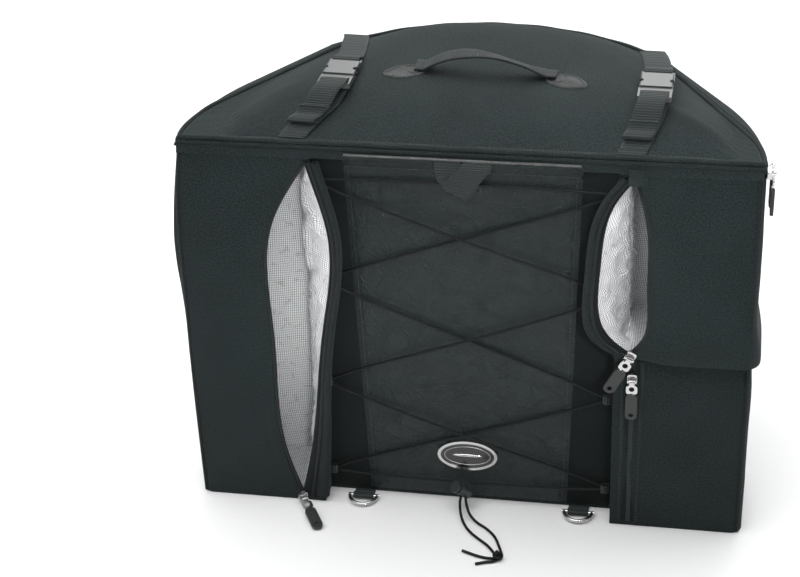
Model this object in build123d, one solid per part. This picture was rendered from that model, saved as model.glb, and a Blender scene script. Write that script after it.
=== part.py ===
"""Soft motorcycle tail bag with two insulated pockets, a hinged lid, straps and a laced bungee cord.

Row frame: X to the right, Y to the back, Z up, millimetres. The origin is on the underside of the base,
on the centre line. The laced panel and the pockets face -Y.
"""
from build123d import *
import math
import os

os.makedirs("parts", exist_ok=True)

# ---------------------------------------------------------------- driving dimensions
HALF_WIDTH = 268.0          # body, each side of the centre line
BODY_TOP = 372.0            # top of the body's walls
LID_BASE = 376.0            # underside of the lid
LID_EDGE = 386.0            # height of the lid's piped edge
WALL = 5.0                  # padded wall
GAP = 0.3                   # clearance between bodies
SIDE_TURN = 35.0            # degrees the side turns in before it runs straight
SIDE_RADIUS = 225.0
SIDE_RUN = 110.0
BACK_DEPTH = 170.0          # y of the back wall on the centre line
FRONT_TOP = -112.0          # y of the front at the top edge
PANEL_FOOT = -130.0         # y of the middle panel at the floor
POCKET_BACK = -66.0         # y of the back of the pockets
POCKET_SIDE = 141.3         # x of the inner side of the pockets
POCKET_WALL = 4.0
CORD_D = 3.5                # bungee cord
WEB_W = 25.0                # webbing width
WEB_T = 1.6                 # webbing thickness

# lid outline
LID_HALF = 264.0
LID_FRONT = -110.0
LID_TURN = 30.0
LID_RADIUS = 90.0
LID_RUN = 181.0
LID_BACK = 150.0
# crown of the lid: (distance in from the piped edge, height)
CROWN = [(0.0, LID_EDGE), (22.0, 399.0), (50.0, 408.0), (80.0, 413.0)]
LID_SKIN = 8.0

# pocket profiles seen from the side, as (y, z), front edge from the floor up
LEFT_FRONT = [(-150.0, 0.0), (-149.0, 130.0), (-142.0, 260.0), (-130.0, 340.0), (-114.0, BODY_TOP)]
UPPER_FOOT = 200.0
UPPER_FRONT = [(-155.0, UPPER_FOOT), (-154.0, 240.0), (-145.0, 290.0), (-130.0, 340.0), (-114.0, BODY_TOP)]
LOWER_TOP = 199.4
LOWER_FRONT = [(-150.0, 0.0), (-149.5, 120.0), (-147.0, LOWER_TOP)]

# mouths, as (x, z) from the top down
LEFT_FLAP = [(-147.0, 368.0), (-176.0, 320.0), (-184.0, 190.0), (-180.0, 60.0), (-165.0, 5.0)]
LEFT_LIP = [(-147.0, 368.0), (-125.0, 310.0), (-133.0, 203.0), (-150.0, 74.0), (-165.0, 5.0)]
LEFT_GUSSET = [(-135.0, 371.0), (-113.0, 310.0), (-122.0, 198.0), (-132.0, 70.0), (-138.0, 4.0)]
UPPER_FLAP = [(157.0, 368.0), (170.0, 328.0), (173.0, 268.0), (170.0, 222.0), (157.0, 204.5)]
UPPER_LIP = [(157.0, 368.0), (138.0, 346.0), (127.0, 290.0), (134.0, 226.0), (157.0, 204.5)]
UPPER_GUSSET = [(147.0, 371.0), (124.0, 344.0), (113.0, 280.0), (121.0, 218.0), (147.0, 202.0)]
ZIP_W = 5.0
ZIP_T = 1.4

# bungee lacing: heights of the loops up the panel, top to bottom
LOOP_X = 134.0
LOOP_LEVELS = [349.0, 245.0, 132.0, 28.0]
LOOP_HALF = 4.5
CORD_LIFT = 2.4             # cord centre above the panel
CROSS_LIFT = 6.4            # cord centre where it passes over another run

# cord lock
LOCK_AT = Vector(-3.0, -144.0, 22.0)
LOCK_AXIS = Vector(-0.60, -0.42, 0.68)
LOCK_R = 6.0
LOCK_LEN = 15.0

# cord tails on the floor, from the lock to their bare ends
FLOOR_LIFT = CORD_D / 2 + 0.1
TAIL_1 = [
    (-5.0, -151.6, 16.5), (-4.5, -156.5, 11.0), (-3.0, -162.0, 5.5), (1.0, -170.0, FLOOR_LIFT),
    (8.0, -181.0, FLOOR_LIFT), (19.0, -191.0, FLOOR_LIFT), (30.0, -200.0, FLOOR_LIFT),
    (37.0, -211.0, FLOOR_LIFT),
]
TAIL_2 = [
    (0.5, -151.6, 16.0), (2.5, -156.0, 11.0), (5.5, -160.5, 5.5), (13.0, -166.5, FLOOR_LIFT),
    (24.0, -174.0, FLOOR_LIFT), (33.0, -184.0, FLOOR_LIFT), (38.5, -196.0, FLOOR_LIFT),
    (43.0, -209.0, FLOOR_LIFT),
]
END_1 = [
    (35.0, -217.0, FLOOR_LIFT), (26.0, -216.5, FLOOR_LIFT), (16.0, -213.5, FLOOR_LIFT),
    (5.0, -209.0, FLOOR_LIFT),
]
END_2 = [(36.0, -221.5, FLOOR_LIFT), (29.0, -222.5, FLOOR_LIFT), (20.0, -226.5, FLOOR_LIFT)]
KNOT_AT = (40.5, -216.0, 5.0)

# compression straps: (x at the front seam, x at the back seam)
STRAPS = {"left": (-129.0, -119.0), "right": (164.5, 168.5)}
STRAP_FRONT_Y = -107.0
STRAP_BACK_Y = 90.0
BUCKLE_Y = -42.0            # middle of the buckle along the strap

# handle
HANDLE_L = (-49.0, -16.0)
HANDLE_R = (61.0, -22.0)
PATCH_SPLAY = (24.0, -20.0)  # degrees each patch turns from the line of the handle
HANDLE_LIFT = 24.0
HANDLE_W = 20.0

# D-rings
RING_X = (-104.0, 110.0)
RING_Y = -141.0
RING_Z = 3.5
RING_R = 2.0


# ---------------------------------------------------------------- helpers
def save(node, shape):
    """Write one node."""
    export_step(shape, f"parts/{node}.step")


def outline(half, front, radius, turn, run, back):
    """D-shaped plan: straight front, rounded front corners, slanted sides, curved back."""
    a = math.radians(turn)
    corner = (half - radius * (1 - math.cos(a)), front + radius * math.sin(a))
    mid = (half - radius * (1 - math.cos(a / 2)), front + radius * math.sin(a / 2))
    rear = (corner[0] - run * math.sin(a), corner[1] + run * math.cos(a))
    edges = [
        Line((-half, front), (half, front)),
        ThreePointArc((half, front), mid, corner),
        Line(corner, rear),
        ThreePointArc(rear, (0, back), (-rear[0], rear[1])),
        Line((-rear[0], rear[1]), (-corner[0], corner[1])),
        ThreePointArc((-corner[0], corner[1]), (-mid[0], mid[1]), (-half, front)),
    ]
    return make_face(edges)


def body_plan():
    """Outline of the body's walls."""
    return outline(HALF_WIDTH, FRONT_TOP, SIDE_RADIUS, SIDE_TURN, SIDE_RUN, BACK_DEPTH)


def lid_plan():
    """Outline of the lid's piped edge."""
    return outline(LID_HALF, LID_FRONT, LID_RADIUS, LID_TURN, LID_RUN, LID_BACK)


def inset(face, amount):
    """The same outline moved in by an amount, or out if it is negative."""
    return offset(face, amount=-amount, kind=Kind.INTERSECTION)


def prism(face, low, high):
    """A plan face made solid between two heights."""
    return extrude(Pos(0, 0, low) * face, amount=high - low, dir=(0, 0, 1))


def block(x0, x1, y0, y1, z0, z1):
    """Box between two corners."""
    size = Box(x1 - x0, y1 - y0, z1 - z0)
    return Pos((x0 + x1) / 2, (y0 + y1) / 2, (z0 + z1) / 2) * size


def side_profile(points, x0, x1):
    """A closed (y, z) outline made solid between two values of x."""
    face = make_face(Polyline([(0, y, z) for y, z in points], close=True))
    return extrude(Pos(x0, 0, 0) * face, amount=x1 - x0, dir=(1, 0, 0))


def front_shape(edges, y0, y1):
    """A closed outline in the XZ plane made solid between two values of y."""
    return extrude(Pos(0, y0, 0) * make_face(edges), amount=y1 - y0, dir=(0, 1, 0))


def curve(points):
    """Smooth line through (x, z) points in the XZ plane."""
    return Spline([(x, 0, z) for x, z in points])


def segment(a, b):
    """Straight line between two (x, z) points in the XZ plane."""
    return Line((a[0], 0, a[1]), (b[0], 0, b[1]))


def lens(side_a, side_b):
    """Area between two curves, joined by straight ends where they don't meet."""
    edges = [curve(side_a), curve(side_b)]
    for end in (0, -1):
        if side_a[end] != side_b[end]:
            edges.append(segment(side_a[end], side_b[end]))
    return edges


def shifted(points, dx):
    """A curve's points moved sideways, with its ends kept within its height."""
    return [(x + dx, z) for x, z in points]


def panel_y(z):
    """Front surface of the middle panel at a height."""
    return PANEL_FOOT + (FRONT_TOP - PANEL_FOOT) * z / BODY_TOP


LEAN = math.atan2(FRONT_TOP - PANEL_FOOT, BODY_TOP)
PANEL = Plane(origin=(0, PANEL_FOOT, 0), x_dir=(1, 0, 0), z_dir=(0, -math.cos(LEAN), math.sin(LEAN)))


def on_panel(x, up, out):
    """A point at x, up the panel and out from its surface."""
    return PANEL.from_local_coords(Vector(x, up, out))


def tube(points, diameter, tightest):
    """Round cord along straight runs joined by tangent arcs."""
    radii = []
    for before, here, after in zip(points, points[1:], points[2:]):
        run_in = Vector(*here) - Vector(*before)
        run_out = Vector(*after) - Vector(*here)
        turn = math.radians(run_in.get_angle(run_out))
        radii.append(0.45 * min(run_in.length, run_out.length) / math.tan(turn / 2))
    radii = [min(radius, 400.0) for radius in radii]
    assert min(radii) >= tightest, "a bend is tighter than the cord allows"
    path = FilletPolyline(*points, radius=radii)
    start = Plane(origin=path @ 0, z_dir=path % 0)
    return sweep(start * Circle(diameter / 2), path=path)


def crown_height(depth):
    """Height of the lid's top at a distance in from its edge."""
    for (d0, z0), (d1, z1) in zip(CROWN, CROWN[1:]):
        if depth <= d1:
            return z0 + (z1 - z0) * (depth - d0) / (d1 - d0)
    return CROWN[-1][1]


def lid_height(x, y):
    """Height of the lid's top above a point of its plan."""
    a = math.radians(LID_TURN)
    corner_x = LID_HALF - LID_RADIUS * (1 - math.cos(a))
    corner_y = LID_FRONT + LID_RADIUS * math.sin(a)
    from_front = y - LID_FRONT
    from_side = (corner_x - abs(x)) * math.cos(a) - (y - corner_y) * math.sin(a)
    return crown_height(max(0.0, min(from_front, from_side, LID_BACK - y)))


# ---------------------------------------------------------------- body walls
def make_base():
    plan = body_plan()
    rear = prism(plan, 0, WALL) & block(-300, 300, POCKET_BACK + GAP, 200, 0, WALL)
    middle = block(-POCKET_SIDE + GAP, POCKET_SIDE - GAP, PANEL_FOOT + 2, POCKET_BACK + GAP, 0, WALL)
    base = rear + middle
    save("base_panel", base)
    board_rear = prism(inset(plan, WALL + 1), WALL, WALL + 3)
    board_rear = board_rear & block(-300, 300, POCKET_BACK + 2, 200, WALL, WALL + 3)
    front_edge = PANEL_FOOT + 2 + WALL + 1
    board_middle = block(-POCKET_SIDE + 2, POCKET_SIDE - 2, front_edge, POCKET_BACK + 2, WALL, WALL + 3)
    save("base_board", board_rear + board_middle)


def make_walls():
    plan = body_plan()
    ring = prism(plan, WALL, BODY_TOP) - prism(inset(plan, WALL), WALL, BODY_TOP)
    save("side_and_back_wall", ring & block(-300, 300, POCKET_BACK + GAP, 200, WALL, BODY_TOP))
    lower = [(panel_y(WALL) + 2, WALL), (panel_y(BODY_TOP) + 2, BODY_TOP)]
    upper = [(panel_y(BODY_TOP) + 2 + WALL, BODY_TOP), (panel_y(WALL) + 2 + WALL, WALL)]
    save("front_wall", side_profile(lower + upper, -POCKET_SIDE + GAP, POCKET_SIDE - GAP))
    top = BODY_TOP / math.cos(LEAN) - 1
    sheet = make_face(Polyline([(-98, 6, 0), (98, 6, 0), (108, top, 0), (-111, top, 0)], close=True))
    save("bungee_panel", PANEL * extrude(Pos(0, 0, -1.8) * sheet, amount=1.8, dir=(0, 0, 1)))
    bead = prism(inset(plan, -2.5), 362, 366) - prism(plan, 362, 366)
    save("rim_piping", bead & block(-300, 300, FRONT_TOP + 16, 200, 362, 366))


# ---------------------------------------------------------------- pockets
def pocket_outer(front, low, high, side, grow=0.0):
    """Solid outside of a pocket on the left (-1) or right (+1), shrunk by grow."""
    y_of = [(y + grow, min(max(z, low + grow), high - grow)) for y, z in front]
    points = [(POCKET_BACK - grow, low + grow)] + y_of + [(POCKET_BACK - grow, high - grow)]
    x0 = POCKET_SIDE + grow
    x1 = HALF_WIDTH + 5
    body = side_profile(points, min(side * x0, side * x1), max(side * x0, side * x1))
    plan = inset(body_plan(), grow)
    ahead = block(-HALF_WIDTH + grow, HALF_WIDTH - grow, -170, FRONT_TOP + grow + 1, low, high)
    return body & (prism(plan, low, high) + ahead)


def mouth_cut(flap, side, reach):
    """What a mouth takes out of a pocket: from the flap's edge to the pocket's inner side."""
    x_in = side * (POCKET_SIDE - 6)
    top = flap[0]
    bottom = flap[-1]
    edges = [curve(flap), segment(top, (x_in, top[1])), segment((x_in, top[1]), (x_in, bottom[1]))]
    edges.append(segment((x_in, bottom[1]), bottom))
    return front_shape(edges, -175, reach)


def make_pocket(name, front, low, high, side, flap):
    """Padded shell with its mouth, and a foil liner inside it. Returns both."""
    cut = mouth_cut(flap, side, -107)
    outer = pocket_outer(front, low, high, side)
    inner = pocket_outer(front, low, high, side, POCKET_WALL)
    shell = outer - inner - cut
    save(f"{name}_shell", shell)
    skin = pocket_outer(front, low, high, side, POCKET_WALL + 0.2)
    hollow = pocket_outer(front, low, high, side, POCKET_WALL + 1.6)
    liner = skin - hollow - cut
    save(f"{name}_liner", liner)
    return shell, liner


def front_slab(front, depth_a, depth_b):
    """Layer that follows a pocket's front between two depths behind it."""
    ahead = [(y + depth_a, z) for y, z in front]
    behind = [(y + depth_b, z) for y, z in reversed(front)]
    return side_profile(ahead + behind, -300, 300)


def make_gusset(name, front, lip, edge, pocket):
    """Strip between the lacing panel and the mouth, standing in front of the panel."""
    strip = front_shape(lens(lip, edge), -175, -100) & front_slab(front, 0.0, 4.5)
    for piece in pocket:
        strip = strip - piece
    save(name, max(strip.solids(), key=lambda solid: solid.volume))


def make_zip(name, front, curves):
    """Zip teeth along the mouth's edges, each standing on the cloth's front."""
    rows = []
    for points, dx in curves:
        band = front_shape(lens(points, shifted(points, dx)), -175, -100)
        rows.append(band & front_slab(front, -ZIP_T - 0.1, -0.1))
    save(name, Compound(children=rows))


def make_pockets():
    left = make_pocket("left_pocket", LEFT_FRONT, 0.0, BODY_TOP, -1, LEFT_FLAP)
    upper = make_pocket("upper_right_pocket", UPPER_FRONT, UPPER_FOOT, BODY_TOP, 1, UPPER_FLAP)
    lower_outer = pocket_outer(LOWER_FRONT, 0.0, LOWER_TOP, 1)
    save("lower_right_pocket_shell", lower_outer - pocket_outer(LOWER_FRONT, 0.0, LOWER_TOP, 1, POCKET_WALL))
    make_gusset("left_pocket_gusset", LEFT_FRONT, LEFT_LIP, LEFT_GUSSET, left)
    make_gusset("upper_right_pocket_gusset", UPPER_FRONT, UPPER_LIP, UPPER_GUSSET, upper)
    make_zip("left_pocket_zip", LEFT_FRONT, [(LEFT_FLAP, -ZIP_W), (LEFT_LIP, ZIP_W)])
    make_zip("upper_right_pocket_zip", UPPER_FRONT, [(UPPER_FLAP, ZIP_W), (UPPER_LIP, -ZIP_W)])
    straight = front_shape([segment((156, 8), (162, 8)), segment((162, 8), (162, 192)),
                            segment((162, 192), (156, 192)), segment((156, 192), (156, 8))], -175, -100)
    save("lower_right_pocket_zip", straight & front_slab(LOWER_FRONT, -ZIP_T - 0.1, -0.1))


# ---------------------------------------------------------------- lid
def make_lid():
    plan = lid_plan()
    body = body_plan()
    sections = [Pos(0, 0, LID_BASE) * body]
    for depth, height in CROWN:
        sections.append(Pos(0, 0, height) * inset(plan, depth))
    outer = loft(sections, ruled=True)
    hollow = [Pos(0, 0, LID_BASE - 1) * inset(plan, 2 * LID_SKIN)]
    hollow.append(Pos(0, 0, LID_BASE + 4) * inset(plan, 2 * LID_SKIN - 2))
    for depth, height in CROWN[1:3]:
        hollow.append(Pos(0, 0, height - LID_SKIN) * inset(plan, depth + 2))
    hollow.append(Pos(0, 0, CROWN[3][1] - LID_SKIN) * inset(plan, CROWN[3][0]))
    inner = loft(hollow, ruled=True)
    save("lid_shell", outer - inner)
    save("lid_lining", prism(inset(plan, 2 * LID_SKIN + 0.3), LID_BASE, LID_BASE + 1.5))
    ring = prism(inset(plan, -4), LID_EDGE, LID_EDGE + 5) - prism(plan, LID_EDGE, LID_EDGE + 5)
    save("lid_piping", ring)
    zips = (("main_zip_lower", BODY_TOP), ("main_zip_upper", LID_BASE - 1.8))
    for node, low in zips:
        high = low + 1.8
        band = prism(body, low, high) - prism(inset(body, 7), low, high)
        save(node, band & block(-300, 300, FRONT_TOP + 4, 200, low, high))


# ---------------------------------------------------------------- straps and buckles
class StrapFrame:
    """Straight line of a strap over the lid: s runs from the front seam to the back."""

    def __init__(self, front_x, back_x):
        self.origin = Vector(front_x, STRAP_FRONT_Y, 0)
        line = Vector(back_x, STRAP_BACK_Y, 0) - self.origin
        self.length = line.length
        self.along = line.normalized()
        self.across = Vector(self.along.Y, -self.along.X, 0)
        self.plane = Plane(origin=self.origin, x_dir=self.along, z_dir=self.across)

    def ground(self, s):
        """Highest point of the lid under the strap at s."""
        heights = []
        for side in (-1, 0, 1):
            p = self.origin + self.along * s + self.across * (side * WEB_W / 2)
            heights.append(lid_height(p.X, p.Y))
        return max(heights)

    def band(self, top_line, thickness=WEB_T, width=WEB_W):
        """Webbing under a line of (s, z) points, which is its top side."""
        under = [(s, z - thickness) for s, z in reversed(top_line)]
        outline_2d = Polyline([(s, z, 0) for s, z in top_line + under], close=True)
        face = make_face(outline_2d)
        return self.plane * extrude(Pos(0, 0, -width / 2) * face, amount=width, dir=(0, 0, 1))

    def place(self, s, z):
        """Frame with X across the strap, Y towards the back and Z up."""
        at = self.origin + self.along * s + Vector(0, 0, z)
        return Location(Plane(origin=at, x_dir=self.across, z_dir=(0, 0, 1)))


BUCKLE_Z = 418.5            # middle of the buckle's thickness
BUCKLE_T = 8.0
FEMALE_LEN = 26.0
MALE_LEN = 18.0
BUCKLE_W = 30.5
ARM_W = 3.4


def make_female(frame, s):
    """Socket half: a flat box open at the front, with a side window for each arm."""
    shell = Pos(0, FEMALE_LEN / 2, 0) * Box(BUCKLE_W, FEMALE_LEN, BUCKLE_T)
    shell = fillet(shell.edges().filter_by(Axis.Y), 2.0)
    socket = Pos(0, FEMALE_LEN / 2 - 6, 0) * Box(BUCKLE_W - 5, FEMALE_LEN - 6, BUCKLE_T - 3)
    windows = Pos(0, 11, 0) * Box(BUCKLE_W + 2, 12, BUCKLE_T - 3)
    right_notch = Pos(BUCKLE_W / 2, 11, 0) * Cylinder(3.5, 20)
    left_notch = Pos(-BUCKLE_W / 2, 11, 0) * Cylinder(3.5, 20)
    notch = left_notch + right_notch
    eye = Pos(0, FEMALE_LEN + 1.2, 0) * Box(WEB_W + 1, 5, 12)
    rails = Pos(0, FEMALE_LEN + 1, 0) * Box(BUCKLE_W, 6, 3)
    bar = Pos(0, FEMALE_LEN + 5.2, 0) * Box(BUCKLE_W, 2.6, 3)
    return frame.place(s, BUCKLE_Z) * ((shell - socket - windows - notch) + (rails - eye) + bar)


def make_male(frame, s):
    """Plug half: a ladder frame for the adjustable strap and a guide tongue."""
    plate = Pos(0, -MALE_LEN / 2, 0) * Box(BUCKLE_W, MALE_LEN, 5.0)
    eye_front = Pos(0, -MALE_LEN + 3.8, 0) * Box(WEB_W + 1, 3.6, 20)
    eye_rear = Pos(0, -MALE_LEN + 10.4, 0) * Box(WEB_W + 1, 3.6, 20)
    tongue = Pos(0, 6.5, 0) * Box(6, 14, 3.4)
    return frame.place(s, BUCKLE_Z) * (plate - eye_front - eye_rear + tongue)


def make_arm(frame, s, side):
    """Springy arm of the plug, with a hooked head in the socket's side window."""
    stem = Pos(side * 9.8, 5.3, 0) * Box(ARM_W, 10, 3.4)
    head = Pos(side * 11.6, 11.2, 0) * Box(5.4, 7.0, 4.0)
    return frame.place(s, BUCKLE_Z) * (stem + head)


def make_straps():
    for side, (front_x, back_x) in STRAPS.items():
        frame = StrapFrame(front_x, back_x)
        s = BUCKLE_Y - STRAP_FRONT_Y
        save(f"buckle_female_{side}", make_female(frame, s))
        save(f"buckle_male_{side}", make_male(frame, s - 0.4))
        for hand, sign in (("inner", -1), ("outer", 1)):
            save(f"buckle_arm_{side}_{hand}", make_arm(frame, s, sign))
        bar_rear = s + FEMALE_LEN + 5.2
        rear = [(frame.length, frame.ground(frame.length) + 3.4)]
        for step in (10, 30, 60):
            here = frame.length - step
            rear.append((here, frame.ground(here) + WEB_T + 1.2))
        rear.append((bar_rear + 8, BUCKLE_Z - 3.4))
        rear.append((bar_rear - 4, BUCKLE_Z - 2.2))
        over = [(bar_rear + 16, BUCKLE_Z - 3.0), (bar_rear + 3, BUCKLE_Z + 3.9)]
        over.append((bar_rear - 4, BUCKLE_Z + 3.9))
        save(f"strap_rear_{side}", Compound(children=[frame.band(rear), frame.band(over)]))
        bar_front = s - 0.4 - MALE_LEN + 7.1
        front = [(0.0, frame.ground(0.0) + 3.4)]
        for here in (12, 26):
            front.append((here, frame.ground(here) + WEB_T + 1.6))
        front.append((bar_front, BUCKLE_Z - 3.4))
        tail = [(bar_front + 3, BUCKLE_Z + 4.6), (bar_front - 9, BUCKLE_Z + 4.6), (bar_front - 20, BUCKLE_Z)]
        tail += [(bar_front - 32, BUCKLE_Z - 8.0), (bar_front - 42, BUCKLE_Z - 15.0)]
        hem = frame.band([(bar_front - 32, BUCKLE_Z - 6.2), (bar_front - 42, BUCKLE_Z - 13.2)])
        save(f"strap_front_{side}", Compound(children=[frame.band(front), frame.band(tail), hem]))


# ---------------------------------------------------------------- handle
def make_handle():
    left = Vector(*HANDLE_L, 0)
    right = Vector(*HANDLE_R, 0)
    line = (right - left).normalized()
    across = Vector(-line.Y, line.X, 0)
    length = (right - left).length
    base = CROWN[-1][1] + 6.0
    plane = Plane(origin=left + Vector(0, 0, base), x_dir=line, z_dir=across * -1)
    top = ThreePointArc((0, 0), (length * 0.47, HANDLE_LIFT), (length, 0))
    low = ThreePointArc((0, -2.4), (length * 0.47, HANDLE_LIFT - 2.4), (length, -2.4))
    ends = [Line((0, 0), (0, -2.4)), Line((length, 0), (length, -2.4))]
    arch = extrude(Pos(0, 0, -HANDLE_W / 2) * make_face([top, low] + ends), amount=HANDLE_W, dir=(0, 0, 1))
    save("handle_webbing", plane * arch)
    patches = []
    for end, sign, splay in ((left, -1, PATCH_SPLAY[0]), (right, 1, PATCH_SPLAY[1])):
        patch = extrude(Ellipse(20, 12), amount=2.2, dir=(0, 0, 1))
        outward = (line * sign).rotate(Axis.Z, splay)
        at = end + outward * 21.5 + Vector(0, 0, CROWN[-1][1] + 0.3)
        patches.append(Plane(origin=at, x_dir=outward, z_dir=(0, 0, 1)) * patch)
    save("handle_patches", Compound(children=patches))


# ---------------------------------------------------------------- zip sliders and pulls
def slider_body(along_bar):
    """Zip slider: X is the bar's line, Z is out. The zip runs across the bar, or along it."""
    size = (12, 9) if along_bar else (9, 12)
    shell = Pos(0, 0, 1.8) * Box(size[0], size[1], 3.6)
    shell = fillet(shell.edges().filter_by(Axis.Z), 2.4)
    posts = Pos(-3.6, 0, 4.8) * Box(1.2, 2.4, 4.4) + Pos(3.6, 0, 4.8) * Box(1.2, 2.4, 4.4)
    bar = Pos(0, 0, 6.0) * Rot(0, 90, 0) * Cylinder(0.9, 7.8)
    return shell + posts + bar


def slider_pull():
    """Metal link that hangs from the slider's bar, with a rubber tag on its end."""
    neck = Pos(0, -2.5, 6.0) * Box(5.0, 9.0, 1.4)
    link = fillet((Pos(0, -9.0, 6.0) * Box(10.4, 9.0, 1.4)).edges().filter_by(Axis.Z), 2.2)
    boss = Pos(0, 0, 6.0) * Rot(0, 90, 0) * Cylinder(1.9, 5.0)
    eye = Pos(0, 0, 6.0) * Rot(0, 90, 0) * Cylinder(1.25, 6.0)
    window = Pos(0, -8.2, 6.0) * Cylinder(2.6, 4.0)
    rubber = Pos(0, -28.1, 6.0) * Box(11.0, 29.0, 3.0)
    rubber = fillet(rubber.edges().filter_by(Axis.Z), 5.0)
    hole = Pos(0, -37.2, 6.0) * Cylinder(2.3, 4.0)
    return Compound(children=[neck + link + boss - eye - window, rubber - hole])


BAR_OUT = 6.0               # height of a slider's bar above the cloth
LYING = 83.5                # degrees the left pull is swung out, so that it lies on the floor


def rim_place(turn):
    """Place on the main zip at an angle round the side's arc."""
    a = math.radians(turn)
    out = Vector(math.cos(a), math.sin(a), 0)
    at = Vector(HALF_WIDTH - SIDE_RADIUS, FRONT_TOP, 374.0) + out * (SIDE_RADIUS + 0.3)
    return at, (-math.sin(a), math.cos(a), 0), out


def make_sliders():
    """Each slider's place: point on the cloth, line of its bar, outward direction."""
    tilt = math.radians(28)
    ahead = (0, -1, 0)
    places = {
        "lower_right_slider": ((159.0, -149.9 - ZIP_T, 177.0), (1, 0, 0), ahead),
        "upper_right_slider": ((156.5, -156.9, 206.0), (math.cos(tilt), 0, -math.sin(tilt)), ahead),
        "left_slider": ((-163.5, -154.0, 7.6), (0.857, 0.515, 0), (0.515, -0.857, 0)),
        "main_slider_1": rim_place(1.9),
        "main_slider_2": rim_place(5.5),
    }
    for name, (at, bar_line, normal) in places.items():
        plane = Plane(origin=at, x_dir=bar_line, z_dir=normal)
        along_bar = name.startswith("main")
        save(name, plane * slider_body(along_bar))
        swing = Rot(-LYING if name == "left_slider" else 0, 0, 0)
        pull = Pos(0, 0, BAR_OUT) * swing * Pos(0, 0, -BAR_OUT) * slider_pull()
        save(name.replace("slider", "pull"), plane * pull)


# ---------------------------------------------------------------- lacing
def make_lacing():
    levels = LOOP_LEVELS
    lift = CORD_LIFT

    def turn(side, up):
        return [on_panel(side * LOOP_X, up, lift), on_panel(side * LOOP_X, up - 2 * LOOP_HALF, lift)]

    def over(up):
        return [on_panel(0, up, CROSS_LIFT)]

    up_levels = [level + LOOP_HALF for level in levels]
    route = [on_panel(-9, up_levels[3] - 2 * LOOP_HALF + 0.3, lift + 3.2)]
    route += reversed(turn(-1, up_levels[3]))
    route += reversed(turn(1, up_levels[2]))
    route += reversed(turn(-1, up_levels[1]))
    route += reversed(turn(1, up_levels[0]))
    route += turn(-1, up_levels[0])
    route += over((levels[0] + levels[1]) / 2)
    route += turn(1, up_levels[1])
    route += over((levels[1] + levels[2]) / 2)
    route += turn(-1, up_levels[2])
    route += over((levels[2] + levels[3]) / 2)
    route += turn(1, up_levels[3])
    route.append(on_panel(3, up_levels[3] - 2 * LOOP_HALF + 0.3, lift + 3.2))
    save("bungee_cord", tube([tuple(p) for p in route], CORD_D, CORD_D))
    loops = []
    for level in levels:
        for side in (-1, 1):
            strap = Pos(side * (LOOP_X + 2.5), level, 2.35) * Box(8, 9, 4.7)
            eye = Pos(side * (LOOP_X - 1), level, 2.35) * Box(8, 20, 3.9)
            loops.append(PANEL * (strap - eye))
    save("bungee_loops", Compound(children=loops))


def make_cord_lock():
    axis = LOCK_AXIS.normalized()
    side = Vector(0, 0, -1).cross(axis).normalized()
    plane = Plane(origin=LOCK_AT, x_dir=side, z_dir=axis)
    barrel = Cylinder(LOCK_R, LOCK_LEN)
    bore = Pos(0, 0, 0.8) * Cylinder(4.6, LOCK_LEN - 1.4)
    eye = Pos(0, 0, 1.5) * Rot(90, 0, 0) * Cylinder(3.7, 20)
    save("cord_lock_barrel", plane * (barrel - bore - eye))
    stem = Pos(0, 0, 3.6) * Cylinder(4.3, 13.0)
    cap = Pos(0, 0, LOCK_LEN / 2 + 3.4) * Cylinder(LOCK_R, 2.4)
    save("cord_lock_plunger", plane * (stem + cap - eye))
    spring = Pos(0, 0, -5.2) * (Cylinder(3.0, 1.2) - Cylinder(2.2, 2.0))
    save("cord_lock_spring", plane * spring)


def make_tails():
    save("bungee_tail_1", tube(TAIL_1, CORD_D, 3 * CORD_D))
    save("bungee_tail_2", tube(TAIL_2, CORD_D, 3 * CORD_D))
    ends = [tube(points, CORD_D, 3 * CORD_D) for points in (END_1, END_2)]
    save("tail_ends", Compound(children=ends))
    save("tail_knot", Pos(*KNOT_AT) * Sphere(4.9))


# ---------------------------------------------------------------- small trim
def make_trim():
    recess = extrude(Pos(0, 0, 0.8) * Ellipse(26.5, 14.2), 4)
    save("badge_rim", PANEL * Pos(0, 54, 0) * (extrude(Ellipse(29.5, 17), 2.4) - recess))
    save("badge_inlay", PANEL * Pos(0, 54, 0.8) * extrude(Ellipse(26.4, 14.1), 1.0))
    tab = Polyline([(-28, 373), (21, 373), (21, 366), (2, 345), (-5, 345), (-28, 366)], close=True)
    save("grab_tab", PANEL * Pos(0, 0, 6.8) * extrude(make_face(tab), 2.6))
    tabs = []
    for x in RING_X:
        strap = block(x - 10, x + 10, -137.2, -128.4, 0.2, 1.2)
        sleeve = block(x - 10, x + 10, RING_Y - 3.8, RING_Y + 3.8, 0.2, 6.6)
        tabs.append(strap + sleeve - block(x - 12, x + 12, RING_Y - 2.5, RING_Y + 2.5, 1.2, 5.8))
        bar = Rot(0, 90, 0) * Cylinder(RING_R, 31.0)
        bow = Torus(13.5, RING_R - 0.1) & Pos(0, -10, 0) * Box(40, 20, 10)
        save(f"d_ring_{'left' if x < 0 else 'right'}", Pos(x, RING_Y, RING_Z) * (bar + bow))
    save("d_ring_tabs", Compound(children=tabs))


make_base()
make_walls()
make_pockets()
make_lid()
make_straps()
make_handle()
make_sliders()
make_lacing()
make_cord_lock()
make_tails()
make_trim()
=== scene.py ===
"""Looks of the soft tail bag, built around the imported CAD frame. Lengths in mm until a mesh is made."""

import math

import bmesh
import bpy
import numpy as np
from mathutils import Matrix, Vector, noise
from mathutils.bvhtree import BVHTree
from mathutils.geometry import tessellate_polygon


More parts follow.
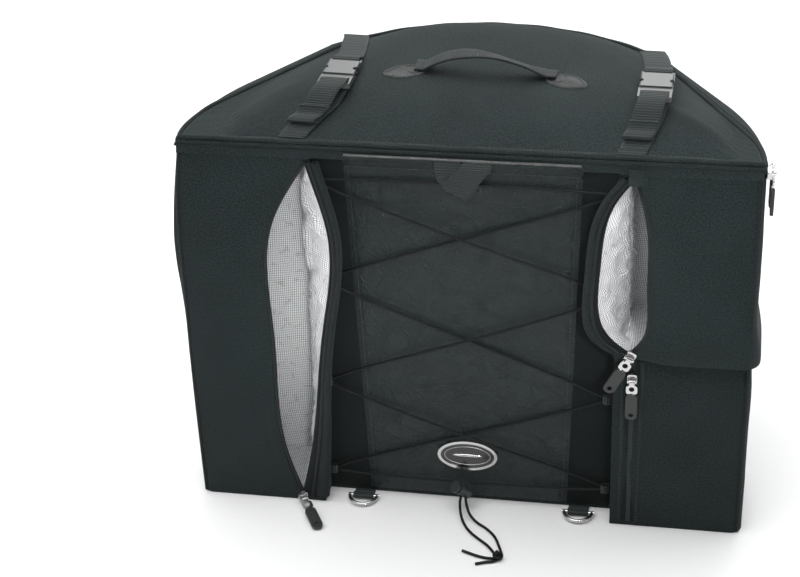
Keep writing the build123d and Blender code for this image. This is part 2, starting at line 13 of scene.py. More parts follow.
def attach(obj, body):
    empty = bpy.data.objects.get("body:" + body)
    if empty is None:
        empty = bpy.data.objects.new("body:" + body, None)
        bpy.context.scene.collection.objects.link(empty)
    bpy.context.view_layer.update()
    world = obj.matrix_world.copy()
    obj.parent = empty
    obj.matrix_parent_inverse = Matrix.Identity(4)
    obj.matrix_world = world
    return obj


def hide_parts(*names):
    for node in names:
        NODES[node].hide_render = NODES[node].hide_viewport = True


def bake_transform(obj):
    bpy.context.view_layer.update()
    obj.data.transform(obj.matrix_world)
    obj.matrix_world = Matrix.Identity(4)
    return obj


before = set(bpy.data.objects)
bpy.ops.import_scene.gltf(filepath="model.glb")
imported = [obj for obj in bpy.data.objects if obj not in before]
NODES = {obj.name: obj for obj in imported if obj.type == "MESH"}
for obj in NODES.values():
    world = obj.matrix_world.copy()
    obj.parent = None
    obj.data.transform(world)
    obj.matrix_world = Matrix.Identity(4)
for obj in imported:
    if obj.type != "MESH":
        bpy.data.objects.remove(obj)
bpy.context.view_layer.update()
MM = 0.001
TAU = 2 * math.pi

# ------------------------------------------------------------------ dimensions of the part
HALF_WIDTH = 268.0
SIDE_RADIUS = 225.0         # of the curve from each side wall towards the back
SIDE_CENTRE = HALF_WIDTH - SIDE_RADIUS
BODY_TOP = 372.0
BODY_FRONT = -112.0
PANEL_FOOT = -130.0
POCKET_BACK = -66.0
POCKET_SIDE = 141.3
LID_FRONT = -110.0
LID_EDGE = 386.0
LID_RISE = 27.0
UPPER_FOOT = 200.0
LOWER_TOP = 199.4
BODY_PLAN = dict(half=HALF_WIDTH, front=BODY_FRONT, radius=SIDE_RADIUS, turn=35.0, run=110.0, back=170.0)
LID_LEFT = dict(half=262.0, front=LID_FRONT, radius=120.0, turn=35.0, run=165.0, back=148.0)
LID_RIGHT = dict(half=264.0, front=LID_FRONT, radius=90.0, turn=31.0, run=178.0, back=148.0)
CORD_D = 2.7
LOWER_ZIP_X = 159.0
BADGE_UP = 54.0             # middle of the badge, up the panel

LEFT_FRONT = [(-150, 0), (-149, 130), (-142, 260), (-130, 340), (-114, 372)]
UPPER_FRONT = [(-155, 200), (-154, 240), (-145, 290), (-130, 340), (-114, 372)]
LOWER_FRONT = [(-150, 0), (-149.5, 120), (-147, 199.4)]
LEFT_FLAP = [(-147, 368), (-176, 320), (-184, 190), (-180, 60), (-165, 5)]
LEFT_LIP = [(-147, 368), (-125, 310), (-133, 203), (-150, 74), (-165, 5)]
LEFT_GUSSET = [(-135, 371), (-113, 310), (-122, 198), (-132, 70), (-138, 4)]
UPPER_FLAP = [(157, 368), (170, 328), (173, 268), (170, 222), (157, 204.5)]
UPPER_LIP = [(157, 368), (138, 346), (127, 290), (134, 226), (157, 204.5)]
UPPER_GUSSET = [(147, 371), (124, 344), (113, 280), (121, 218), (147, 202)]


# ------------------------------------------------------------------ curves
def spline(points, count=240):
    """Points on a natural cubic through the given ones."""
    p = np.array(points, float)
    t = run_along(p)
    h = np.diff(t)
    n = len(p)
    rows = np.eye(n)
    right = np.zeros_like(p)
    for i in range(1, n - 1):
        rows[i, i - 1:i + 2] = h[i - 1], 2 * (h[i - 1] + h[i]), h[i]
        right[i] = 6 * ((p[i + 1] - p[i]) / h[i] - (p[i] - p[i - 1]) / h[i - 1])
    m = np.linalg.solve(rows, right)
    s = np.linspace(0, t[-1], count)
    k = np.clip(np.searchsorted(t, s, side="right") - 1, 0, n - 2)
    a = ((t[k + 1] - s) / h[k])[:, None]
    b = 1 - a
    square = (h[k] ** 2)[:, None] / 6
    return a * p[k] + b * p[k + 1] + ((a ** 3 - a) * m[k] + (b ** 3 - b) * m[k + 1]) * square


def of_height(points):
    """Function of height through (value, z) points."""
    line = spline(points)
    order = np.argsort(line[:, 1])
    return lambda z: np.interp(z, line[order, 1], line[order, 0])


def resample(path, step):
    """The same path with points an even step apart."""
    p = np.asarray(path, float)
    run = run_along(p)
    at = np.linspace(0, run[-1], max(2, int(round(run[-1] / step)) + 1))
    return np.stack([np.interp(at, run, p[:, i]) for i in range(p.shape[1])], axis=1)


def smooth_step(x, low, high):
    t = np.clip((np.asarray(x, float) - low) / (high - low), 0, 1)
    return t * t * (3 - 2 * t)


def bump_at(x, middle, width):
    """Bell of height 1."""
    return np.exp(-((np.asarray(x, float) - middle) / width) ** 2)


def rough(points, size, seed):
    """Smooth noise from -1 to 1 at each point, with lumps of about the given size."""
    p = np.asarray(points, float)
    flat = p.reshape(-1, p.shape[-1]) / size + seed * 7.31
    return np.array([noise.noise(Vector(q)) for q in flat]).reshape(p.shape[:-1])


def at_height(points, z):
    """Points of a plan, at one height."""
    return np.concatenate([points, np.full((len(points), 1), z)], axis=1)


def run_along(path, axis=0):
    """Distance in mm from the start of a path, at each of its points."""
    steps = np.linalg.norm(np.diff(path, axis=axis), axis=-1)
    return np.insert(np.cumsum(steps, axis=axis), 0, 0, axis=axis)


def unit(vectors):
    return vectors / np.maximum(np.linalg.norm(vectors, axis=-1, keepdims=True), 1e-9)


def panel_y(z):
    return PANEL_FOOT + (BODY_FRONT - PANEL_FOOT) * np.asarray(z, float) / BODY_TOP


LEAN = math.atan2(BODY_FRONT - PANEL_FOOT, BODY_TOP)
PANEL_OUT = np.array([0, -math.cos(LEAN), math.sin(LEAN)])
PANEL_UP = np.array([0, math.sin(LEAN), math.cos(LEAN)])


def on_panel(x, up, out):
    """Point at x, up the panel and out from its surface."""
    return np.array([x, PANEL_FOOT, 0]) + PANEL_UP * up + PANEL_OUT * out


def outline(half, front, radius, turn, run, back, counts=(60, 30, 40, 80)):
    """Closed plan, anticlockwise from the middle of the front: (points, outward normals)."""
    a = math.radians(turn)
    line, arc, side, rear = counts
    centre = np.array([half - radius, front])
    right = [(x, front) for x in np.linspace(0, half, line, endpoint=False)]
    angles = np.linspace(0, a, arc, endpoint=False)
    right += [tuple(centre + radius * np.array([math.cos(t), math.sin(t)])) for t in angles]
    corner = centre + radius * np.array([math.cos(a), math.sin(a)])
    end = corner + run * np.array([-math.sin(a), math.cos(a)])
    right += [tuple(corner + (end - corner) * t) for t in np.linspace(0, 1, side, endpoint=False)]
    mid_y = (back ** 2 - end[0] ** 2 - end[1] ** 2) / (2 * (back - end[1]))
    big = back - mid_y
    start = math.atan2(end[1] - mid_y, end[0])
    right += [(big * math.cos(t), mid_y + big * math.sin(t)) for t in np.linspace(start, TAU / 4, rear)]
    left = [(-x, y) for x, y in right[-2:0:-1]]
    points = np.array(right + left)
    ahead = np.roll(points, -1, axis=0) - np.roll(points, 1, axis=0)
    normals = np.stack([ahead[:, 1], -ahead[:, 0]], axis=1)
    return points, unit(normals)


# ------------------------------------------------------------------ materials
class Shader:
    """A Principled material with a few short ways to add nodes."""

    def __init__(self, name, colour, roughness, **sockets):
        self.material = bpy.data.materials.new(name)
        self.material.use_nodes = True
        self.material.diffuse_color = (*colour, 1)
        self.tree = self.material.node_tree
        self.base = self.tree.nodes["Principled BSDF"]
        self.base.inputs["Base Color"].default_value = (*colour, 1)
        self.base.inputs["Roughness"].default_value = roughness
        for socket, value in sockets.items():
            self.base.inputs[socket.replace("_", " ")].default_value = value
        self.colour = colour

    def node(self, kind, settings=None, **inputs):
        node = self.tree.nodes.new(kind)
        for key, value in (settings or {}).items():
            setattr(node, key, value)
        for key, value in inputs.items():
            self.feed(node.inputs[key.replace("_", " ")], value)
        return node

    def feed(self, socket, value):
        if isinstance(value, bpy.types.NodeSocket):
            self.tree.links.new(value, socket)
        else:
            socket.default_value = value

    def math(self, operation, *values, clamp=False):
        node = self.node("ShaderNodeMath", dict(operation=operation, use_clamp=clamp))
        for socket, value in zip(node.inputs, values):
            self.feed(socket, value)
        return node.outputs[0]

    def total(self, *terms, clamp=False):
        """Sum of (value, weight) pairs."""
        parts = [value if weight == 1 else self.math("MULTIPLY", value, weight) for value, weight in terms]
        result = parts[0]
        for number, part in enumerate(parts[1:], 2):
            result = self.math("ADD", result, part, clamp=clamp and number == len(parts))
        return result

    def axes(self, where):
        return self.node("ShaderNodeSeparateXYZ", Vector=where).outputs

    def cloth(self):
        """Lengths in mm along and across the cloth."""
        return self.node("ShaderNodeAttribute", dict(attribute_name="cloth")).outputs["Vector"]

    def space(self):
        """Place in the row frame, in mm."""
        coordinates = self.node("ShaderNodeTexCoord").outputs["Object"]
        scaled = self.node("ShaderNodeVectorMath", dict(operation="SCALE"), Vector=coordinates)
        scaled.inputs["Scale"].default_value = 1000.0
        return scaled.outputs[0]

    def noise(self, where, per_mm, detail=2.0, roughness=0.5, distortion=0.0):
        node = self.node("ShaderNodeTexNoise", Vector=where, Scale=per_mm, Detail=detail)
        node.inputs["Roughness"].default_value = roughness
        node.inputs["Distortion"].default_value = distortion
        return node.outputs[0]

    def ramp(self, value, *stops):
        node = self.node("ShaderNodeValToRGB", Fac=value)
        items = node.color_ramp.elements
        while len(items) < len(stops):
            items.new(0.5)
        for item, (position, colour) in zip(items, stops):
            item.position = position
            item.color = (*colour, 1) if len(colour) == 3 else colour
        return node.outputs[0]

    def paint(self, value, dark, bright):
        """Base colour from dark times to bright times the shader's colour, as value goes 0 to 1."""
        low = tuple(c * dark for c in self.colour)
        high = tuple(min(1.0, c * bright) for c in self.colour)
        self.feed(self.base.inputs["Base Color"], self.ramp(value, (0.0, low), (1.0, high)))

    def relief(self, height, strength, distance):
        bump = self.node("ShaderNodeBump", Height=height)
        bump.inputs["Strength"].default_value = strength
        bump.inputs["Distance"].default_value = distance * MM
        self.feed(self.base.inputs["Normal"], bump.outputs[0])


def fabric(name, colour, coordinates="cloth", pitch=1.9, speckle=1.0, roughness=0.9, sheen=0.05):
    """Matt twill: a diagonal weave, mottled yarn and faint large patches."""
    s = Shader(name, colour, roughness, Sheen_Weight=sheen, Sheen_Roughness=0.45,
               Specular_IOR_Level=0.26)
    where = s.cloth() if coordinates == "cloth" else s.space()
    split = s.axes(where)
    diagonal = s.math("ADD", split[0], split[1])
    if coordinates != "cloth":
        diagonal = s.math("ADD", diagonal, split[2])
    rib = s.math("SINE", s.math("MULTIPLY", diagonal, TAU / pitch))
    other = s.math("SUBTRACT", split[0], split[1])
    across = s.math("SINE", s.math("MULTIPLY", other, TAU / (pitch * 1.7)))
    weave = s.total((rib, 0.6), (across, 0.4))
    yarn = s.noise(where, 0.58, detail=3.0, roughness=0.75)
    patch = s.noise(where, 0.016, detail=2.0)
    middle = 0.25 - 1.8 * speckle
    value = s.total((yarn, 3.6 * speckle), (weave, 0.2), (patch, 0.5), (middle, 1), clamp=True)
    s.paint(value, 0.30, 1.75)
    s.relief(s.total((weave, 0.4), (yarn, 1.6)), 0.7, 0.5)
    return s.material


def leather(name, colour, roughness, grain=0.42, crease=0.045):
    """Coated cloth with a fine pebbled grain and long soft creases, its colour darker along the creases as
    painted shade.
    """
    s = Shader(name, colour, roughness, Specular_IOR_Level=0.36)
    where = s.cloth()
    pebble = s.node("ShaderNodeTexVoronoi", dict(feature="DISTANCE_TO_EDGE"), Vector=where, Scale=grain)
    bead = s.math("MINIMUM", pebble.outputs[0], 0.25)
    folds = s.noise(where, crease, detail=5.0, roughness=0.62, distortion=1.2)
    ridge = s.math("ABSOLUTE", s.math("SUBTRACT", folds, 0.5))
    thin = s.math("MINIMUM", s.math("MULTIPLY", ridge, 9.0), 1.0)
    fine = s.noise(where, 0.8, detail=3.0)
    # Colour darker along the crease lines where the bump dips: painted shade in the creases; the fine noise
    # is the coating's own mottle.
    s.paint(s.total((thin, 0.35), (fine, 0.6), clamp=True), 0.66, 1.25)
    s.relief(s.total((bead, 1.8), (thin, 1.3), (fine, 0.4)), 0.8, 0.7)
    s.feed(s.base.inputs["Roughness"], s.total((fine, 0.25), (roughness - 0.12, 1)))
    return s.material


def foil(name):
    """Metallised insulating cloth: a grid of dots pressed into crumpled silver. The dot grid is the cloth's
    own pattern; its bright colour on the dots is a painted glint and the darker colour in the crumple hollows
    is painted shade.
    """
    s = Shader(name, (0.9, 0.91, 0.92), 0.3, Metallic=0.1)
    where = s.cloth()
    bent = s.noise(where, 0.05, detail=2.0)
    split = s.axes(where)
    waves = []
    for i in (0, 1):
        slid = s.total((split[i], 1), (bent, 2.5))
        waves.append(s.math("COSINE", s.math("MULTIPLY", slid, TAU / 2.1)))
    dots = s.math("MULTIPLY", s.math("ADD", waves[0], 1.0), s.math("ADD", waves[1], 1.0))
    dots = s.math("MULTIPLY", dots, 0.25)
    crumple = s.noise(where, 0.11, detail=4.0, roughness=0.65, distortion=0.8)
    # Colour from the dots and the crumple that also make the bump: painted glints on the dots, painted shade
    # in the hollows.
    value = s.math("MULTIPLY", s.math("POWER", dots, 0.7), s.math("ADD", crumple, 0.55), clamp=True)
    s.feed(s.base.inputs["Base Color"],
           s.ramp(value, (0.0, (0.30, 0.31, 0.32)), (0.25, (0.72, 0.73, 0.74)), (0.5, (0.98, 0.98, 0.99))))
    s.relief(s.total((dots, 0.35), (crumple, 3.5)), 0.6, 0.9)
    s.feed(s.base.inputs["Roughness"], s.ramp(crumple, (0.3, (0.22,) * 3), (0.7, (0.46,) * 3)))
    return s.material


def webbing(name, colour):
    """Ribbed polypropylene tape: rows of yarn across it and a slight shine."""
    s = Shader(name, colour, 0.72, Sheen_Weight=0.12, Specular_IOR_Level=0.4)
    where = s.cloth()
    split = s.axes(where)
    rows = s.math("SINE", s.math("MULTIPLY", split[0], TAU / 2.4))
    yarns = s.math("SINE", s.math("MULTIPLY", split[1], TAU / 1.2))
    speckle = s.noise(where, 0.9, detail=2.0)
    s.paint(s.total((rows, 0.45), (speckle, 0.9), clamp=True), 0.3, 1.6)
    s.relief(s.total((rows, 0.8), (yarns, 0.3), (speckle, 0.6)), 0.6, 0.3)
    return s.material


def plastic(name, colour, roughness, marks=0.5, **sockets):
    """Moulded plastic, enamel or rubber with a faint texture and rubbed high spots."""
    s = Shader(name, colour, roughness, **sockets)
    where = s.space()
    fine = s.noise(where, 1.6, detail=3.0)
    broad = s.noise(where, 0.12, detail=2.0)
    s.paint(s.total((fine, 0.4), (broad, 0.6), clamp=True), 0.8, 1.2)
    s.relief(fine, 0.25 * marks, 0.15)
    s.feed(s.base.inputs["Roughness"], s.total((broad, 0.18 * marks), (roughness - 0.06 * marks, 1)))
    return s.material


def metal(name, colour, roughness):
    """Plated metal with faint handling marks."""
    s = Shader(name, colour, roughness, Metallic=1.0)
    where = s.space()
    marks = s.noise(where, 0.5, detail=4.0, roughness=0.7)
    s.paint(marks, 0.86, 1.08)
    s.relief(marks, 0.08, 0.1)
    s.feed(s.base.inputs["Roughness"], s.total((marks, 0.16), (roughness - 0.05, 1)))
    return s.material


def braid(name, colour):
    """Woven cover of a bungee cord."""
    s = Shader(name, colour, 0.5, Specular_IOR_Level=0.25)
    where = s.space()
    yarn = s.node("ShaderNodeTexVoronoi", dict(feature="F1"), Vector=where, Scale=1.15).outputs[0]
    speckle = s.noise(where, 1.3, detail=2.0)
    s.paint(s.total((yarn, 0.5), (speckle, 0.5), clamp=True), 0.6, 1.5)
    s.relief(s.math("SUBTRACT", speckle, yarn), 0.5, 0.3)
    return s.material


TWILL = fabric("twill_cloth", (0.0160, 0.0228, 0.0232))
# Darker copy of the same twill for the pocket cloth: painted shade for the front faces that the overhead
# light reaches less.
TWILL_PAINTED_SHADE = fabric("twill_cloth_front_painted_shade", (0.0105, 0.0168, 0.0172))
TWILL_DARK = fabric("twill_cloth_binding", (0.0115, 0.0165, 0.0165), speckle=0.7)
# Near-black zip tape; the front wall beside the laced panel uses it too, as painted shade of that recess.
TAPE_AND_RECESS_SHADE = fabric("zip_tape_and_painted_recess_shade", (0.006, 0.009, 0.009), pitch=0.9, speckle=0.6, sheen=0.03)
LINING = fabric("lining_cloth", (0.035, 0.037, 0.038), pitch=0.8, speckle=0.5, sheen=0.1)
LEATHERETTE = leather("leatherette", (0.0100, 0.0168, 0.0168), 0.41)
# Pale leatherette for the fold along the panel's top: a painted highlight on the hem.
PAINTED_HIGHLIGHT_EDGE = leather("leatherette_painted_highlight_edge", (0.13, 0.135, 0.132), 0.38)
PATCH_HIDE = leather("patch_hide", (0.100, 0.105, 0.104), 0.42, grain=0.8, crease=0.12)
FOIL = foil("foil_cloth")
WEBBING = webbing("webbing_tape", (0.0175, 0.0245, 0.0245))
HANDLE_TAPE = webbing("webbing_tape_handle", (0.0118, 0.0172, 0.0172))
BUCKLE = plastic("buckle_plastic_satin", (0.066, 0.070, 0.069), 0.33, Specular_IOR_Level=0.9)
LOCK_PLASTIC = plastic("cord_lock_plastic", (0.030, 0.036, 0.036), 0.35)
TEETH = plastic("zip_teeth_plastic", (0.013, 0.018, 0.018), 0.4)
RUBBER = plastic("pull_rubber_matt", (0.022, 0.025, 0.025), 0.46)
CHROME = metal("plated_bright", (0.62, 0.62, 0.61), 0.17)
STEEL = metal("spring_steel_bright", (0.6, 0.6, 0.6), 0.25)
CORD = braid("cord_braid", (0.0030, 0.0046, 0.0050))
ENAMEL = plastic("badge_black", (0.012, 0.013, 0.014), 0.16, marks=0.2, Coat_Weight=0.6, Coat_Roughness=0.08)
THREAD = plastic("sewing_thread", (0.040, 0.048, 0.048), 0.6)
BOARD = fabric("stiffener_board", (0.04, 0.04, 0.04), coordinates="space", speckle=0.5)


# ------------------------------------------------------------------ meshes
def build(name, points, faces, material, cloth=None, sharp=42):
    """Object from points in mm."""
    mesh = bpy.data.meshes.new(name)
    mesh.from_pydata((np.asarray(points, float) * MM).tolist(), [], faces)
    if cloth is not None:
        layer = mesh.attributes.new("cloth", "FLOAT_VECTOR", "POINT")
        full = np.zeros((len(points), 3), np.float32)
        full[:, :cloth.shape[1]] = cloth
        layer.data.foreach_set("vector", full.ravel())
    mesh.polygons.foreach_set("use_smooth", np.ones(len(mesh.polygons), bool))
    mesh.set_sharp_from_angle(angle=math.radians(sharp))
    mesh.materials.append(material)
    thing = bpy.data.objects.new(name, mesh)
    bpy.context.scene.collection.objects.link(thing)
    return thing


def settle(thing, body, slot, *nodes):
    """Put a piece on its body and hide the CAD nodes it stands for; slot, its finish, is not used."""
    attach(thing, body)
    if nodes:
        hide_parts(*nodes)
    return thing


def grid_faces(rows, cols, start, wrap, flip):
    faces = []
    last = cols if wrap else cols - 1
    for i in range(rows - 1):
        for j in range(last):
            k = (j + 1) % cols
            a, b = start + i * cols + j, start + i * cols + k
            c, d = start + (i + 1) * cols + k, start + (i + 1) * cols + j
            faces.append((a, d, c, b) if flip else (a, b, c, d))
    return faces


def grid_normals(grid, wrap):
    if wrap:
        across = np.roll(grid, -1, axis=1) - np.roll(grid, 1, axis=1)
    else:
        across = np.gradient(grid, axis=1)
    n = np.cross(across, np.gradient(grid, axis=0))
    size = np.linalg.norm(n, axis=2, keepdims=True)
    good = size > 1e-3 * np.median(size)
    usual = np.sum(n * good, axis=(0, 1))
    return np.where(good, n / np.maximum(size, 1e-9), usual / max(np.linalg.norm(usual), 1e-9))


def lengths(grid):
    """Distances in mm along both directions of a grid, as (rows, cols, 2)."""
    return np.stack([run_along(grid, 1), run_along(grid, 0)], axis=2)


def normals_from(grid, inside, wrap=False):
    """Normals of a grid that face away from the inside, and whether they had to be turned."""
    normals = grid_normals(grid, wrap)
    turned = float(np.sum(normals * (grid - np.asarray(inside, float)))) < 0
    return (-normals if turned else normals), turned


def sheet(name, grid, thick, material, inside, wrap=False, sharp=42, cloth=None):
    """Closed cloth of even thickness. grid is its outer face; inside is a point behind it."""
    grid = np.asarray(grid, float)
    rows, cols = grid.shape[:2]
    normals, flip = normals_from(grid, inside, wrap)
    inner = grid - normals * thick
    count = rows * cols
    points = np.concatenate([grid.reshape(-1, 3), inner.reshape(-1, 3)])
    faces = grid_faces(rows, cols, 0, wrap, flip) + grid_faces(rows, cols, count, wrap, not flip)
    edges = [[i * cols for i in range(rows)][::-1], [i * cols + cols - 1 for i in range(rows)]]
    if wrap:
        edges = []
        span = list(range(cols)) + [0]
    else:
        span = list(range(cols))
    edges += [span, [(rows - 1) * cols + j for j in span][::-1]]
    for edge in edges:
        for a, b in zip(edge, edge[1:]):
            quad = (a, a + count, b + count, b)
            faces.append(quad if not flip else quad[::-1])
    if cloth is None:
        cloth = lengths(grid)
    cloth = cloth.reshape(-1, cloth.shape[2])
    return build(name, points, faces, material, np.concatenate([cloth, cloth]), sharp)


def frames_along(path, up, closed):
    """Two directions square to a path at each point, turning as little as possible."""
    p = np.asarray(path, float)
    if closed:
        ahead = np.roll(p, -1, axis=0) - np.roll(p, 1, axis=0)
    else:
        ahead = np.gradient(p, axis=0)
    ahead = unit(ahead)
    side = unit(np.cross(ahead, np.asarray(up, float)))
    return side, np.cross(side, ahead)


def tube(name, path, radius, material, up=(0, 0, 1), sides=10, closed=False):
    """Round bead along a path."""
    p = np.asarray(path, float)
    side, top = frames_along(p, up, closed)
    run = run_along(p)
    radii = np.broadcast_to(np.asarray(radius, float), (len(p),))
    turn = np.linspace(0, TAU, sides, endpoint=False)
    ring = side[:, None] * np.cos(turn)[None, :, None] + top[:, None] * np.sin(turn)[None, :, None]
    points = (p[:, None] + ring * radii[:, None, None]).reshape(-1, 3)
    cloth = np.stack(np.broadcast_arrays(run[:, None], turn[None] * float(np.max(radii))), axis=2)
    cloth = cloth.reshape(-1, 2)
    faces = []
    count = len(p)
    for i in range(count if closed else count - 1):
        k = (i + 1) % count
        for j in range(sides):
            m = (j + 1) % sides
            faces.append((i * sides + j, i * sides + m, k * sides + m, k * sides + j))
    if not closed:
        faces.append(tuple(range(sides))[::-1])
        faces.append(tuple((count - 1) * sides + j for j in range(sides)))
    return build(name, points, faces, material, cloth)


def ribbon(name, path, across, width, thick, material, rib=0.10, pitch=1.9, sharp=60, columns=9):
    """Flat tape whose middle follows path; across gives its width direction at each point."""
    p = np.asarray(path, float)
    across = unit(np.broadcast_to(np.asarray(across, float), p.shape))
    up = unit(np.cross(across, unit(np.gradient(p, axis=0))))
    run = run_along(p)
    wave = rib * np.sin(run * TAU / pitch)
    widths = np.broadcast_to(np.asarray(width, float), (len(p),))
    spots = np.linspace(-0.5, 0.5, columns)
    section = [(s, 0.5) for s in spots] + [(0.515, 0.0)] + [(s, -0.5) for s in spots[::-1]] + [(-0.515, 0.0)]
    loops, cloth = [], []
    for s, side in section:
        swell = 1.0 - 0.35 * smooth_step(abs(s), 0.44, 0.5)
        lift = side * (thick * swell) + np.sign(side) * wave * (abs(s) < 0.47)
        loops.append(p + across * (s * widths)[:, None] + up * np.broadcast_to(lift, run.shape)[:, None])
        cloth.append(np.stack([run, s * widths + (side < 0) * 40], axis=1))
    loops = np.stack(loops, axis=1)
    cloth = np.stack(cloth, axis=1)
    rows, cols = loops.shape[:2]
    faces = grid_faces(rows, cols, 0, True, True)
    faces.append(tuple(range(cols)))
    faces.append(tuple((rows - 1) * cols + j for j in range(cols))[::-1])
    return build(name, loops.reshape(-1, 3), faces, material, cloth.reshape(-1, 2), sharp)


def beads(name, places, size, material, taper=0.72):
    """Many small blunt blocks as one mesh: places are (middle, along, out) and size is (long, wide, high)."""
    points, faces = [], []
    corners = [(-1, -1), (1, -1), (1, 1), (-1, 1)]
    for middle, along, out in places:
        along = np.asarray(along, float) / np.linalg.norm(along)
        out = np.asarray(out, float)
        out = out - along * np.dot(out, along)
        out /= np.linalg.norm(out)
        side = np.cross(out, along)
        k = len(points)
        for level, shrink in ((0.0, 1.0), (0.6, 1.0), (1.0, taper)):
            for a, b in corners:
                points.append(middle + along * (a * shrink * size[0] / 2) + side * (b * shrink * size[1] / 2)
                              + out * (size[2] * level))
        faces.append((k, k + 3, k + 2, k + 1))
        faces.append((k + 8, k + 9, k + 10, k + 11))
        for layer in (0, 4):
            for j in range(4):
                m = (j + 1) % 4
                faces.append((k + layer + j, k + layer + m, k + layer + 4 + m, k + layer + 4 + j))
    return build(name, points, faces, material, sharp=55)


def row_places(path, out, pitch, turned=False):
    """Places an even pitch apart along a path; turned puts each block's length across the path."""
    p = resample(path, pitch)
    out = np.broadcast_to(np.asarray(out, float), p.shape)
    ahead = np.gradient(p, axis=0)
    return [(q, np.cross(o, a) if turned else a, o) for q, a, o in zip(p, ahead, out)]


def stitches(name, path, out, pitch=3.4, long=2.4, lift=0.0):
    places = [(q + np.asarray(o) * lift, a, o) for q, a, o in row_places(path, out, pitch)]
    return beads(name, places, (long, 0.75, 0.5), THREAD)


def slab(name, ring, low, high, material):
    """Flat cloth panel between two heights; ring is its closed outline in the XY plane."""
    ring = np.asarray(ring, float)
    count = len(ring)
    flat = [Vector((x, y, 0)) for x, y in ring]
    triangles = tessellate_polygon([flat])
    points = [(x, y, high) for x, y in ring] + [(x, y, low) for x, y in ring]
    faces = []
    for a, b, c in triangles:
        area = (ring[b][0] - ring[a][0]) * (ring[c][1] - ring[a][1])
        area -= (ring[c][0] - ring[a][0]) * (ring[b][1] - ring[a][1])
        up = (a, b, c) if area > 0 else (a, c, b)
        faces.append(up)
        faces.append((up[0] + count, up[2] + count, up[1] + count))
    signed = np.sum(ring[:, 0] * np.roll(ring[:, 1], -1) - np.roll(ring[:, 0], -1) * ring[:, 1])
    for i in range(count):
        k = (i + 1) % count
        quad = (i, i + count, k + count, k)
        faces.append(quad if signed > 0 else quad[::-1])
    cloth = np.concatenate([ring, ring])
    return build(name, points, faces, material, cloth, 30)


# ------------------------------------------------------------------ lid
right_points, right_normals = outline(**LID_RIGHT)
left_points, left_normals = outline(**LID_LEFT)
half_way = len(right_points) // 2 + 1
lid_points = np.concatenate([right_points[:half_way], left_points[half_way:]])
lid_normals = np.concatenate([right_normals[:half_way], left_normals[half_way:]])
body_points, body_normals = outline(**BODY_PLAN)
STRAPS = {"left": (-129.0, -119.0), "right": (164.5, 168.5)}
STRAP_BENDS = {"left": (-27.0, -16.0), "right": (-14.0, -11.0)}
STRAP_FRONT_Y, STRAP_BACK_Y = -107.0, 90.0
LID_CREASES = [
    # (points, height, width)
    ([(176, -52), (200, -67), (222, -80), (246, -99)], 1.3, 7.0),
    ([(176, -70), (205, -88), (232, -98)], -0.8, 8.0),
    ([(-165, -40), (-200, -66), (-232, -88), (-250, -100)], 1.0, 9.0),
    ([(-160, -70), (-198, -94), (-230, -100)], -0.7, 9.0),
    ([(140, 60), (120, 90), (96, 118)], 0.6, 12.0),
]


def segment_distance(x, y, a, b):
    ax, ay = a
    dx, dy = b[0] - ax, b[1] - ay
    t = np.clip(((x - ax) * dx + (y - ay) * dy) / (dx * dx + dy * dy), 0, 1)
    return np.hypot(x - ax - t * dx, y - ay - t * dy)


def lid_height(x, y):
    """Height of the crowned lid, with the dents under its straps and its soft creases."""
    from_side, from_back = [], []
    for plan in (LID_LEFT, LID_RIGHT):
        a, radius = math.radians(plan["turn"]), plan["radius"]
        corner_x = plan["half"] - radius * (1 - math.cos(a))
        corner_y = LID_FRONT + radius * math.sin(a)
        end_x, end_y = corner_x - plan["run"] * math.sin(a), corner_y + plan["run"] * math.cos(a)
        back_y = (plan["back"] ** 2 - end_x ** 2 - end_y ** 2) / (2 * (plan["back"] - end_y))
        from_back.append((plan["back"] - back_y) - np.hypot(x, y - back_y))
        from_side.append((corner_x - np.abs(x)) * math.cos(a) - (y - corner_y) * math.sin(a))
    from_side = np.where(x < 0, *from_side)
    from_back = np.where(x < 0, *from_back)
    k = 9.0
    total = sum(np.exp(-np.maximum(d, -20) / k) for d in (y - LID_FRONT, from_side, from_back))
    depth = np.clip(-k * np.log(total), 0, 95)
    z = LID_EDGE + LID_RISE * (1 - (1 - depth / 95) ** 2.4)
    inner = smooth_step(depth, 0, 26)
    for front_x, back_x in STRAPS.values():
        d = segment_distance(x, y, (front_x, STRAP_FRONT_Y), (back_x, STRAP_BACK_Y + 50))
        z = z - 1.2 * bump_at(d, 0, 19) * inner + 0.7 * bump_at(d, 32, 14) * inner
    for line, height, width in LID_CREASES:
        d = np.min([segment_distance(x, y, p, q) for p, q in zip(line, line[1:])], axis=0)
        z = z + height * bump_at(d, 0, width) * smooth_step(depth, 2, 14)
    spots = np.stack([x, y, np.zeros_like(x)], axis=-1)
    z = z + 1.2 * rough(spots, 80, 1) * inner + 0.25 * rough(spots, 26, 2) * inner
    return z, depth


